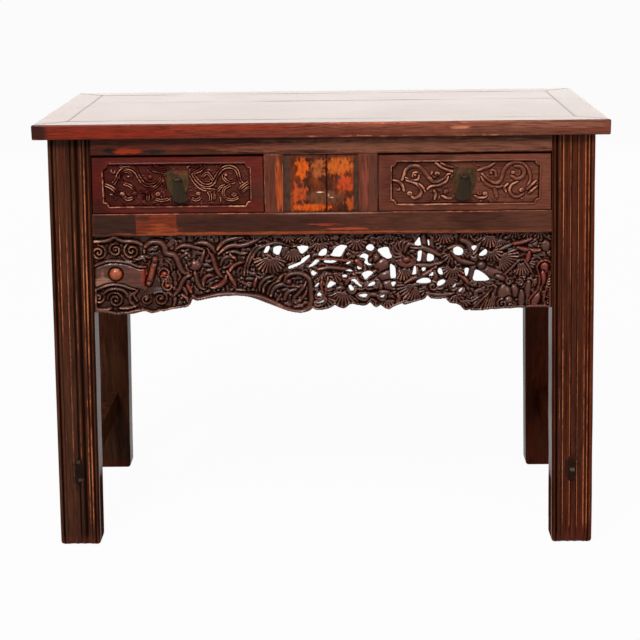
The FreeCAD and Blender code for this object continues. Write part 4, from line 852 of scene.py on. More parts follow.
class Carving:
    """A face being carved: a grid of x and z with the height cut over its ground. Forms are
    placed on a side's drawing sheet, and their sizes and levels are in thousandths."""

    def __init__(self, x, z, height, fullness, roundness, trench):
        self.x, self.z, self.height = x, z, height
        self.fullness, self.roundness, self.trench = fullness, roundness, trench
        self.red, self.ribbed = np.zeros_like(x), np.zeros_like(x)

    def near(self, low, high):
        """Part of the grid that covers a box of x and z."""
        inside = (self.z > low[1]) & (self.z < high[1]) & (self.x > low[0]) & (self.x < high[0])
        return np.ix_(inside.any(1), inside.any(0))

    def around(self, centre, pad):
        """Part of the grid within a distance of a point, and its x and z from there."""
        at = self.near(centre - pad, centre + pad)
        return at, self.x[at] - centre[0], self.z[at] - centre[1]

    def lay(self, at, crown, beside, red, ribs=0):
        """Lays a form over what is there; outside it the ground falls towards it in a trench."""
        cut = np.clip(1 - beside / trench_width, 0, 1) * trench_depth * self.trench
        self.height[at] = np.where(beside < 0, crown, self.height[at] - cut)
        self.red[at] = np.where(beside < 0, red, self.red[at])
        self.ribbed[at] = np.where(beside < 0, ribs, self.ribbed[at])

    def strand(self, points, width, level, tips=(0.4, 0.4), red=0, furrow=0.9):
        """Rounded strand along a path. Its height is level less what its section falls
        from the middle, a bow to the power of its roundness, and less the furrow on its lower
        side; its width narrows to the tips' shares at its two ends."""
        path = curve_through(points)
        step = np.diff(path, axis=0)
        width, level = width * thousandth * self.fullness, level * thousandth
        lengths = np.concatenate([[0], np.cumsum(np.linalg.norm(step, axis=1))])
        half = width / 2 * np.interp(lengths / lengths[-1], (0, 0.25, 0.75, 1), (tips[0], 1, 1, tips[1]))
        pad = width / 2 + trench_width
        at = self.near(path.min(0) - pad, path.max(0) + pad)
        offset = np.stack([self.x[at], self.z[at]], -1)[:, :, None] - path[:-1]
        share = np.clip((offset * step).sum(-1) / ((step ** 2).sum(-1) + 1e-12), 0, 1)
        distance = np.linalg.norm(offset - share[..., None] * step, axis=-1)
        reach = half[:-1] + (half[1:] - half[:-1]) * share
        turned = (offset[..., 0] * step[:, 1] - offset[..., 1] * step[:, 0]) * np.where(step[:, 0] < 0, 1, -1)
        nearest = (distance - reach).argmin(-1)[..., None]
        beside, across, upper = [np.take_along_axis(part, nearest, -1)[..., 0]
                                 for part in (distance - reach, distance / reach, turned)]
        crown = level - min(level, width * 0.55) * (1 - np.clip(1 - across ** 2, 0, 1) ** self.roundness)
        crown = crown - furrow * thousandth * np.where(upper > 0, 0, np.clip(across * 2.2, 0, 1))
        self.lay(at, crown, beside, red)

    def strands(self, side, tips, furrow, rows):
        """Strands from rows: width, level, how red, and the points of the path."""
        for width, level, red, *points in rows:
            self.strand(sheet(side, *points), width, level, tips, red, furrow)

    def spiral(self, side, inner, width, level, u, v, outer, turns, start, hand):
        """Strand whose path winds in from the outer radius, in sheet units, to the inner one."""
        t = np.linspace(0, 1, max(6, int(turns * 10)))[:, None]
        radius = outer * sheet_unit + (inner * thousandth - outer * sheet_unit) * t
        wound = ray(math.radians(start) + hand * 2 * math.pi * turns * t[:, 0])
        self.strand(sheet(side, u, v) + radius * wound, width, level, (0.6, 0.8))

    def dome(self, side, u, v, wide, high, level, red=0, turn=0, flat=0.3):
        """Oval dome: flat's share of the level at its rim, the rest a bow above it."""
        wide, high = wide * thousandth, high * thousandth
        at, dx, dz = self.around(sheet(side, u, v)[0], max(wide, high) / 2 + trench_width)
        along, up = ray(math.radians(turn))
        out = np.hypot((dx * along + dz * up) / (wide / 2), (dz * along - dx * up) / (high / 2))
        crown = level * thousandth * (flat + (1 - flat) * np.clip(1 - out ** 2, 0, 1) ** 0.8)
        self.lay(at, crown, (out - 1) * min(wide, high) / 2, red)

    def fan(self, side, u, v, radius, facing, spread, ribs, level, red):
        """Pine fan: ribs out from a centre within a spread of angles. Height is the level
        less a groove between ribs, the squared cosine of the ribs' count of half turns."""
        radius = radius * sheet_unit
        at, dx, dz = self.around(sheet(side, u, v)[0], radius + trench_width)
        out = np.hypot(dx, dz)
        turn = (np.degrees(np.arctan2(dz, dx)) - facing + 180) % 360 - 180
        sideways = np.radians(np.abs(turn) - spread) * out
        beside = np.maximum.reduce([out - radius, sideways, 0.12 * radius - out])
        rib = np.cos(math.pi * (turn / spread + 1) / 2 * ribs) ** 2
        crown = level * thousandth * (0.72 + 0.28 * np.clip(out / radius, 0, 1))
        crown = crown - 0.0050 * (1 - rib) * np.clip(out / radius * 2, 0.4, 1)
        broad = np.clip(out * math.radians(2 * spread) / ribs / carving_cell / 1.5 - 0.8, 0, 1)
        self.lay(at, crown, beside + radius * 0.05 * (1 - rib), 0, (2 * rib - 1) * broad)
        self.red[at] = np.where(beside < 0, red * 0.3, self.red[at])


grid_x, grid_z = [np.linspace(low, high, int((high - low) / carving_cell))
                  for low, high in ((apron_low.x, apron_high.x), (apron_low.z, apron_high.z))]
face_x, face_z = np.meshgrid(grid_x, grid_z)
depth_in = inside_distance(face_x, face_z, drawn_edges(nodes["apron_carved"].data, apron_low.y))
slope_z, slope_x = np.gradient(depth_in, grid_z[1] - grid_z[0], grid_x[1] - grid_x[0])
snap = np.where(np.abs(depth_in) < snap_reach, depth_in, 0)
face_place = np.stack([face_x, face_x * 0, face_z], -1)
ground = ground_level + ground_wave * soft_noise(face_place, (0.006, 0.01, 0.006), 41)
apron_face = Carving(face_x, face_z, ground, 1.6, 0.85, 1)
strand, strands, spiral = apron_face.strand, apron_face.strands, apron_face.spiral
dome, fan = apron_face.dome, apron_face.fan

# Under the drawn forms lie loose leaves and stems, so that no ground is left flat.
scatter = np.random.default_rng(77)
steps = np.linspace(-1, 1, 5)
for count in range(620):
    centre = np.array([scatter.uniform(-0.30, 0.44), scatter.uniform(0.492, 0.636)])
    heading = scatter.uniform(-1.2, 1.2) + (0 if centre[0] > -0.1 else 0.6)
    bend = scatter.uniform(-1.1, 1.1)
    path = centre + scatter.uniform(0.007, 0.017) * steps[:, None] * ray(heading + bend * steps)
    strand(path, scatter.uniform(4.2, 7.5), scatter.uniform(3, 6.2), (0.3, 0.2), 0, 0.6)

# The left end: cloud ribbons over spirals, a dished panel with a ball and a rod, and
# a band of curls along the foot.
for row in (
    (60, 128, 50, 1.9, 100, -1), (262, 118, 72, 2.5, 200, 1), (162, 112, 42, 1.7, 60, 1),
    (165, 412, 52, 2, 180, -1), (62, 400, 38, 1.5, 60, -1), (352, 408, 36, 1.4, 40, -1),
    (440, 404, 50, 1.8, 150, -1), (482, 326, 36, 1.6, 120, 1), (462, 252, 38, 1.5, 200, -1),
    (250, 385, 24, 1.2, 160, 1),
):
    spiral("left", 1.2, 3, form_level, *row)
for u, v, radius, spread, facing in ((390, 128, 46, 70, 100), (478, 210, 52, 60, 60), (452, 300, 50, 55, 10)):
    for ring in (1.0, 0.72, 0.44):
        arc = ray(np.radians(np.linspace(facing - spread, facing + spread, 7)))
        strand(sheet("left", u, v) + radius * ring * sheet_unit * arc, 3.4, low_level + 1)
panel_top = (34, 208, 75, 192, 110, 181, 155, 178, 205, 182, 250, 192, 300, 210, 345, 214)
panel_foot = (345, 352, 292, 350, 252, 342, 208, 327, 160, 320, 118, 324, 80, 337, 34, 354)
panel_loop = np.concatenate([curve_through(sheet("left", *points)) for points in (panel_top, panel_foot)])
panel_in = inside_distance(face_x, face_z, closed_edges(panel_loop))
ball_x, ball_z = sheet("left", 165, 258)[0]
from_x, from_z = face_x - ball_x, face_z - ball_z
dish = np.exp(-(from_x / 0.030) ** 2 - (from_z / 0.020) ** 2)
fluted = np.abs(np.sin(from_x / 0.0125)) * (from_x > 0.028)
panel_height = (0.0070 - 0.0048 * dish + 0.0010 * fluted) * (0.45 + 0.55 * np.clip(panel_in / 0.005, 0, 1))
apron_face.height = np.where(panel_in > 0, panel_height, apron_face.height)
apron_face.red = np.where(panel_in > 0, 0.55 * fluted, apron_face.red)
strands("left", (0.9, 0.8), 0.9, (
    (4.2, form_level, 0, *panel_top),
    (4.2, form_level, 0, 34, 354, 80, 337, 118, 324, 160, 320, 208, 327, 252, 342, 292, 352)))
dome("left", 165, 258, 27, 27, 9.8, 0.45, 0, 0.1)
strands("left", (0.8, 0.6), 0.9, [(width, ribbon_level, red, *points) for width, red, *points in (
    (4.4, 0, 300, 158, 340, 150, 372, 160), (4.4, 0, 345, 178, 330, 160, 300, 168, 272, 166),
    (5, 0.2, 30, 486, 80, 496, 150, 505, 215, 498, 275, 480, 330, 468),
    (6.2, 0.2, 330, 470, 372, 486, 430, 492, 492, 488, 548, 472, 590, 458, 612, 432),
    (4.4, 0, 96, 372, 120, 352, 160, 344, 206, 352, 236, 378, 254, 412, 276, 430),
    (3.6, 0, 276, 366, 252, 392, 262, 430, 290, 446), (3.6, 0, 300, 352, 278, 384, 300, 420),
    (4.4, 0, 38, 448, 60, 470, 110, 470, 140, 462), (4, 0, 190, 462, 240, 462, 300, 446),
    (5, 0, 500, 378, 528, 402, 524, 444), (5, 0, 570, 380, 600, 400, 606, 425),
    (3.6, 0, 478, 160, 510, 180, 522, 220), (3.6, 0, 470, 172, 498, 196, 506, 236),
    (3.6, 0, 540, 240, 558, 268, 545, 300),
)])
for u, v, size in (
    (165, 112, 6), (352, 408, 7), (440, 404, 8), (482, 326, 8), (462, 252, 9),
):
    dome("left", u, v, size, size, form_level + 0.8, 0.8 if u > 450 else 0.2)

# Grasses and mushrooms right of it, blades laid over one another.
strands("left", (0.5, 0.3), 0.6, (
    (6, 8, 0.1, 530, 104, 566, 86, 610, 88, 660, 100, 706, 112),
    (6.6, 8.3, 0, 640, 74, 680, 68, 716, 76, 748, 100, 772, 132), (5, 6.2, 0, 560, 110, 596, 132, 618, 160),
    (4.4, 5.8, 0, 540, 170, 580, 140, 612, 128), (5.4, 6.6, 0, 700, 112, 690, 150, 676, 200, 664, 236),
    (6.2, 8.4, 0.3, 728, 122, 748, 150, 762, 192, 782, 240, 806, 268, 826, 280),
    (6.8, 8, 0, 776, 112, 796, 84, 826, 58, 872, 44, 940, 32),
    (6.6, 8.2, 0.2, 782, 138, 826, 100, 868, 84, 910, 86, 960, 76, 1010, 52, 1050, 30),
    (5.6, 7.8, 0, 800, 206, 812, 168, 840, 150, 872, 156, 896, 176),
    (5, 7, 0, 830, 128, 876, 122, 920, 132, 960, 128), (4.4, 7.6, 0.6, 852, 130, 866, 150, 892, 160),
    (5, 8, 0.6, 850, 250, 872, 212, 908, 190, 944, 184),
    (5.8, 8.4, 0.7, 838, 236, 858, 268, 880, 300, 898, 330),
    (5, 7.8, 0, 944, 264, 950, 220, 966, 170, 984, 128, 1010, 96, 1050, 76),
    (4.6, 8.2, 0, 964, 250, 968, 206, 990, 150, 1024, 106, 1090, 76, 1150, 70, 1220, 92),
    (4.6, 7.8, 0, 1220, 92, 1280, 86, 1340, 96, 1390, 84),
    (7, 8, 0, 644, 236, 650, 272, 664, 312, 690, 340, 716, 348),
    (5.8, 8, 0.3, 700, 330, 700, 296, 712, 272, 740, 262, 762, 266),
    (7.2, 8.6, 0.6, 836, 264, 830, 292, 806, 320, 770, 336, 742, 336),
    (6.6, 7, 1, 600, 320, 612, 346, 630, 372), (5.6, 6.6, 0, 560, 330, 586, 352, 604, 384),
    (5, 6.4, 0.4, 930, 300, 960, 322, 990, 330), (5.2, 7.8, 0.5, 1018, 280, 1012, 310, 1006, 340),
    (5.6, 7.6, 0, 1040, 360, 1044, 320, 1066, 290, 1100, 272, 1130, 268),
    (4.6, 7, 0, 1064, 372, 1066, 334, 1090, 304, 1130, 290),
    (5.6, 7.6, 0, 1090, 380, 1112, 330, 1150, 300, 1168, 270, 1196, 250),
    (4.6, 6, 0, 900, 350, 930, 352, 960, 356), (4.4, 6, 0, 640, 300, 620, 270, 600, 280),
))
dome("left", 644, 204, 25, 21, 8.8, 0.35)
dome("left", 610, 196, 8, 10, 7)
for u, v in ((790, 352), (820, 356), (870, 350), (1000, 352), (950, 336)):
    dome("left", u, v, 9, 7, low_level)

# The broad cloud ribbon lies over all that, and the rod beside the panel.
strands("left", (0.8, 0.6), 1.4, [(width, 9.2, 0.1, *points) for width, *points in (
    (6.2, 35, 62, 90, 60, 128, 50, 154, 34, 182, 50, 215, 60, 268, 62, 312, 76, 336, 104, 338, 130),
    (8.4, 345, 92, 372, 68, 408, 64, 440, 74, 458, 98, 466, 128, 485, 138, 512, 142, 532, 164, 546, 198, 564,
     234, 590, 254, 622, 262),
    (6.2, 618, 264, 590, 276, 570, 304, 558, 336, 542, 362, 520, 386),
)])
strands("left", (1, 1), 0, [(7.6, ribbon_level, 0.5, 400, 190, 384, 250, 367, 308)])
dome("left", 402, 171, 13, 13, ribbon_level, 0.5)
dome("left", 367, 314, 11, 11, ribbon_level, 0.3)

# The great rolled leaf: a thick rim along the scalloped edge that turns back on itself.
strands("left", (0.7, 0.8), 0.9, [(width, level, 0.1, *points) for width, level, *points in (
    (7, 7.8, 1110, 386, 1130, 340, 1176, 318, 1232, 324, 1262, 336, 1300, 330, 1330, 320),
    (6, 7, 1196, 410, 1204, 376, 1230, 356, 1262, 348), (5.8, 7, 1250, 398, 1282, 366, 1310, 330, 1326, 300),
    (5.4, 6.6, 1262, 430, 1300, 402, 1328, 360, 1336, 322), (5.2, 6, 1150, 420, 1160, 396, 1172, 380),
    (7.4, 8.8, 636, 388, 664, 404, 712, 396, 776, 382, 846, 376, 922, 380, 1002, 388, 1070, 404, 1140, 436,
     1204, 466, 1262, 482, 1312, 480, 1346, 456, 1360, 416, 1354, 372, 1350, 326, 1338, 286, 1306, 260, 1262,
     250, 1222, 256, 1198, 276, 1200, 300, 1220, 306),
)])
dome("left", 1216, 300, 13, 12, 8.8, 0.4)
dome("left", 1284, 418, 12, 8, low_level, 0.5)

# Pine fans, trunks and stalks of the middle and the right.
for row in (
    (1096, 150, 110, -90, 84, 12, 8.4, 0.1), (1232, 92, 96, -84, 56, 9, 7.8, 0),
    (1200, 18, 56, -90, 86, 7, 8, 0), (1000, 8, 46, -90, 80, 7, 7, 0), (1060, 4, 40, -90, 80, 6, 6.6, 0),
    (1310, 24, 66, -100, 80, 7, 7.8, 0), (1390, 60, 66, -80, 84, 8, 8, 0.2),
    (1130, 10, 40, -90, 84, 6, 7, 0),
):
    fan("left", *row)
for row in (
    (62, 22, 62, -80, 90, 7, 7.8, 0.1), (10, 30, 66, -90, 84, 7, 7.8, 0.1),
    (232, 70, 72, -100, 100, 9, 8.4, 0.4), (152, 36, 46, -60, 86, 6, 7.2, 0),
    (352, 50, 60, -70, 84, 7, 7.6, 0), (420, 36, 50, -90, 84, 6, 7, 0), (88, 262, 82, -86, 74, 8, 8.4, 0.5),
    (26, 286, 70, -70, 80, 7, 7.8, 0.2), (156, 374, 122, -104, 66, 9, 8.4, 0.4),
    (190, 262, 52, -70, 80, 6, 7.4, 0), (520, 232, 94, -82, 50, 7, 8.2, 0.3),
    (598, 340, 150, -148, 40, 7, 8, 0.3), (600, 342, 128, -98, 34, 6, 8.4, 0.4),
    (680, 366, 70, -120, 60, 6, 7.2, 0), (812, 150, 78, -80, 96, 9, 8.4, 0.3),
    (816, 236, 84, -96, 84, 9, 8.6, 0.4), (790, 300, 66, -60, 60, 6, 7.8, 0.3),
    (860, 132, 56, -60, 80, 7, 7.8, 0), (760, 26, 78, -84, 60, 7, 8.2, 0.5),
    (700, 14, 56, -96, 70, 6, 7.6, 0), (900, 16, 56, -90, 84, 6, 7.8, 0.3),
    (1036, 34, 94, -104, 60, 8, 8.6, 0.6), (1096, 60, 76, -76, 50, 6, 8.2, 0.2),
    (980, 10, 50, -90, 80, 6, 7.2, 0), (1180, 10, 60, -90, 80, 7, 7.4, 0),
    (1260, 14, 56, -90, 80, 6, 7.6, 0.1), (1330, 10, 62, -84, 84, 7, 7.6, 0.1),
    (1046, 136, 74, -60, 90, 9, 8.4, 0.2), (1090, 170, 128, -30, 62, 11, 8.6, 0.3),
    (1230, 200, 92, -62, 60, 9, 8, 0.4), (1206, 296, 60, -40, 60, 6, 7.6, 0.1),
    (1052, 372, 148, -128, 30, 6, 7.8, 0), (1066, 384, 128, -92, 26, 6, 8, 0.1),
    (838, 396, 66, -70, 84, 7, 8.2, 0.5), (880, 430, 60, -80, 70, 6, 7.6, 0.2),
    (730, 372, 70, -60, 60, 6, 7, 0.1), (420, 430, 56, -90, 74, 6, 7.8, 0.2),
    (340, 420, 54, -110, 60, 5, 7.4, 0.4), (30, 410, 80, -60, 50, 6, 7.4, 0),
    (1310, 300, 60, -60, 60, 6, 6.6, 0),
):
    fan("right", *row)
strands("right", (0.7, 0.6), 0.4, (
    (4.2, 8.6, 0.6, -8, 188, 60, 190, 130, 194, 200, 200, 244, 200),
    (5.4, 8, 0.3, 0, 250, 60, 240, 120, 244, 196, 252),
    (6.2, 7.8, 0, 196, 252, 222, 290, 250, 330, 292, 340, 340, 322, 372, 290),
    (5.4, 7.4, 0.4, 170, 340, 190, 310, 228, 300), (8.6, 8.2, 0.5, 232, 200, 250, 216, 262, 236),
    (4.6, 7.8, 0.4, 60, 300, 52, 350, 40, 400, 52, 440), (4.4, 7.4, 0.2, 24, 300, 20, 350, 30, 400, 46, 432),
    (4.4, 7, 0, -20, 320, -6, 370, 4, 420), (8.8, 7.6, 0, 634, 50, 640, 120, 644, 190, 640, 250),
    (6.4, 7, 0, 690, 60, 684, 100, 700, 140), (7.8, 8.2, 0.2, 560, 116, 620, 120, 680, 140, 740, 166),
    (7, 8.2, 0, 580, 222, 640, 228, 700, 226, 752, 206),
    (7, 8.4, 0.4, 716, 236, 680, 262, 640, 284, 590, 300, 530, 330),
    (6.6, 7.8, 0, 706, 260, 716, 300, 700, 344, 712, 380, 760, 400),
    (5.6, 7, 0, 600, 240, 606, 270, 620, 290),
    (11, 8.4, 0, 868, 76, 900, 90, 926, 122, 940, 160, 944, 210, 936, 260, 926, 310),
    (7, 7.8, 0, 976, 96, 956, 124, 940, 160), (7.6, 8, 0.1, 800, 130, 850, 190, 900, 210, 944, 214),
    (6, 7.8, 0, 786, 124, 838, 112, 880, 120), (5.8, 8.8, 0.7, 856, 286, 888, 304, 920, 334, 962, 350),
    (13, 8.4, 0.2, 990, 240, 1030, 262, 1080, 280, 1140, 298),
    (5.8, 8.8, 0.6, 1160, 102, 1200, 94, 1240, 86, 1288, 66), (6, 8, 0, 1100, 130, 1144, 112, 1166, 100),
    (6.6, 8.8, 0.5, 1204, 118, 1240, 130, 1290, 140, 1340, 134),
    (6.8, 8.4, 1, 1276, 148, 1272, 176, 1264, 204),
    (3, 8.8, 0.1, 1220, 190, 1180, 230, 1130, 280, 1090, 320),
    (3, 8.4, 0.1, 1060, 366, 1020, 410, 970, 460, 930, 500), (3, 8.2, 0.2, 1244, 190, 1280, 240, 1310, 292),
    (9, 6, 0, 1282, 330, 1276, 400, 1284, 480), (5.6, 8, 0.1, 660, 390, 720, 404, 780, 402, 830, 390),
    (7, 7.8, 0.1, 300, 400, 360, 404, 420, 398, 470, 384), (6, 7.4, 0.2, 230, 408, 270, 420, 300, 408),
    (6.2, 7.2, 0.2, 486, 400, 494, 430, 480, 460), (4.8, 7, 0, 520, 440, 580, 452, 640, 430),
    (6.4, 7.6, 0, 452, 200, 500, 214, 570, 222), (5, 7, 0, 780, 440, 830, 470, 890, 490),
))

# A ball of curled petals, a pale disc, a beast that climbs among the branches, rocks with
# round hollows, and the smooth reddish forms of the right end.
for turn in range(7):
    lead = math.radians(200 - turn * 28)
    petal = np.array([0.027 * ray(lead), 0.018 * ray(lead + 0.6), (0, 0)])
    strand(sheet("right", 522, 152) + petal, 5.6, 8.4, (0.4, 0.5), 0.1)
for ring in (0.020, 0.0155, 0.011):
    arc = ring * ray(np.radians(np.linspace(200, 345, 8))) * (1, 0.75)
    strand(sheet("right", 534, 184) + arc, 4.2, 8.6, (0.4, 0.4), 0.5)
dome("right", 536, 192, 17, 13, 9, 0.5)
dome("right", 106, 60, 13, 13, 7, flat=0.8)
dome("right", 338, 92, 10, 10, 8.8, 0.5)
for u, v, wide, high, level, turn, red in (
    (352, 186, 16, 18, 8.8, 0, 0.4), (386, 230, 26, 34, 9, -40, 0.5), (412, 290, 22, 34, 8.8, -70, 0.3),
    (424, 350, 24, 30, 8.8, -80, 0.2), (376, 352, 13, 32, 8.4, 20, 0.1), (404, 388, 26, 12, 8.4, 0, 0.1),
    (328, 268, 24, 9, 8.2, 20, 0.1), (316, 200, 14, 8, 8, 60, 0.1), (990, 226, 18, 17, 8.6, 0, 0),
    (1162, 324, 19, 15, 8.6, 0, 0.1), (1226, 330, 18, 15, 8.4, 0, 0), (1196, 380, 18, 28, 8.6, 10, 0.2),
    (1136, 400, 28, 40, 8.2, 0, 0.2), (1160, 440, 20, 20, 8.8, 0, 0.3), (1240, 430, 14, 40, 7.4, 0, 0),
    (1110, 300, 26, 12, 8.8, -24, 0.3), (1372, 236, 18, 30, 8.6, 0, 1), (1366, 300, 13, 30, 8, 4, 1),
    (1346, 380, 13, 24, 7.4, 10, 0.9), (1324, 430, 19, 36, 8.6, -20, 1), (1376, 110, 20, 22, 5, 0, 0.1),
):
    dome("right", u, v, wide, high, level + 0.6, red * (1 if u > 1360 else 0.5), turn)
for row in (
    (1162, 324, 26, 1.1, 40, 1), (1226, 330, 24, 1.1, 140, -1), (1124, 458, 34, 1.5, 80, 1),
    (1180, 470, 28, 1.4, 60, -1), (640, 476, 18, 1, 10, 1), (700, 352, 34, 1.4, 100, -1),
    (356, 350, 22, 1.2, 30, 1), (300, 356, 20, 1.2, 200, -1), (1386, 400, 22, 1.3, 100, 1),
    (1398, 460, 20, 1.2, 80, 1), (940, 330, 26, 1.3, 90, -1),
):
    spiral("right", 1.4, 3.4, 8.6, *row)
strands("right", (0.8, 0.8), 0.9, [(3, 8.4, 0.5, *points) for points in (
    (1338, 480, 1300, 476, 1286, 440, 1310, 400, 1336, 370, 1346, 320, 1336, 270, 1326, 236, 1344, 204, 1380,
     196, 1410, 214, 1416, 260, 1400, 300, 1390, 350, 1384, 400),
    (1398, 480, 1376, 440, 1380, 400, 1398, 350, 1410, 300),
)])
strands("right", (0.6, 0.6), 0.9, [
    (2.6, 6.6, 0.2, 1396, v + 8, 1412, v, 1430, v - 6) for v in range(290, 500, 16)])

# Fine lines are cut round the forms wherever the ground is still low.
rings = np.cos(2 * math.pi * softened(apron_face.height, 10) / line_spacing)
low_lying = np.clip(1 - apron_face.height / low_ground_top, 0, 1) * (panel_in <= 0)
apron_face.height = apron_face.height + low_lying * (0.0016 + 0.0018 * rings)
apron_face.ribbed = apron_face.ribbed + 0.8 * low_lying * rings

# A narrow bead follows the outer edge under the left end and between the scallops; every
# cut edge is eased, and the marks follow what stands out from its surroundings.
relief = np.clip(softened(apron_face.height, 1), *relief_range)
bead = bead_foot + bead_hump * bow((depth_in - bead_middle) / bead_half)
beaded = (face_z < bead_top) & (depth_in < 2 * bead_middle) & (depth_in > 0)
relief = np.where(beaded, np.maximum(relief, bead), relief)
relief = relief * (0.45 + 0.55 * bow(1 - np.clip(depth_in, 0, carved_edge) / carved_edge))
stand = relief - softened(relief, 6)
hollow = softened(relief, 24) - relief
warmth = np.interp(face_x, (-0.44, -0.2, 0.1, 0.44), (1.0, 0.85, 0.75, 0.75))
highest = np.clip((relief - 0.0028) / 0.003, 0.1, 1)
on_ball = np.clip(1.3 - np.hypot(from_x, from_z) / 0.012, 0, 0.8)
# Painted highlight on the lower-left rim of the dish round the ball.
ring = np.hypot(from_x / 0.030, from_z / 0.022)
lower_left = np.clip(0.35 - (from_x * 0.7 + from_z * 0.5) / 0.02, 0, 1)
dish_highlight = 0.9 * np.exp(-((ring - 0.85) / 0.25) ** 2) * (panel_in > 0.001) * lower_left
# Thin lines along the crests are painted highlights; the broader ridges are rubbed to the wood.
crest_highlight = np.clip((relief - softened(relief, 2)) / 0.0005, 0, 1)
chance = np.clip(0.8 + 0.7 * soft_noise(face_place, (0.016, 0.02, 0.016), 45), 0.3, 1.15)
ridge_wear_and_highlight = (0.6 * np.clip(stand / 0.0018, 0, 1) + 0.35 * crest_highlight) * warmth * highest * chance
ribs = 0.75 * np.clip(apron_face.ribbed, 0, 1) * chance
# Darkening: lacquer left in the hollows, with painted shade in the recesses, the grooves and on the low
# ground.
low_ground = 0.6 * np.clip(1 - relief / low_ground_top, 0, 1)
dirt_and_shade = np.maximum.reduce([-stand / 0.0011, hollow / 0.0028, low_ground, -0.8 * apron_face.ribbed])
# The rub marks hold wear and painted highlights; the dirt marks hold lacquer in the hollows and painted shade.
apron_marks = {"rub_and_highlight": np.maximum.reduce([ridge_wear_and_highlight, ribs, 1.2 * on_ball, dish_highlight]),
               "dirt_and_shade": np.clip(dirt_and_shade, 0, 1), "red": softened(apron_face.red, 2)}
carving_lacquer = lacquer(
    "carving_lacquer", (0.050, 0.0150, 0.0086), (0.092, 0.027, 0.0145), (0.23, 0.094, 0.054), "X", rough=0.25,
    wear=0.48, seed=25, gloss=0.32, red=(0.17, 0.0165, 0.0066), blots=patches((
        (-395.2, 559.6, 15, 15, 340, 62, 16, 0.9, 0.4), (-338.7, 558, 8, 24, 200, 22, 8, 0.9, 1),
        (-325.8, 561.5, 6, 18, 220, 48, 16, 0.8, 0.8), (-419.7, 546, 18, 12, 240, 105, 62, 0.85, 1),
        # The blot at -419.7 is a painted highlight on the lower-left rim of the dish.
        (-301.3, 559, 9.5, 9.5, 260, 34, 10, 0.8, 0.8), (-295.7, 536, 9.5, 8, 260, 50, 14, 0.8, 0.8),
        (-315, 528, 12, 7, 160, 140, 140, 0.7, 1),
    ), (-250, 50)))
carved_slab("apron_carving", "apron_carved", face_x - snap * slope_x, face_z - snap * slope_z,
            apron_low.y + carving_depth - relief, depth_in > -snap_reach, apron_high.y,
            carving_lacquer, "table", apron_marks)

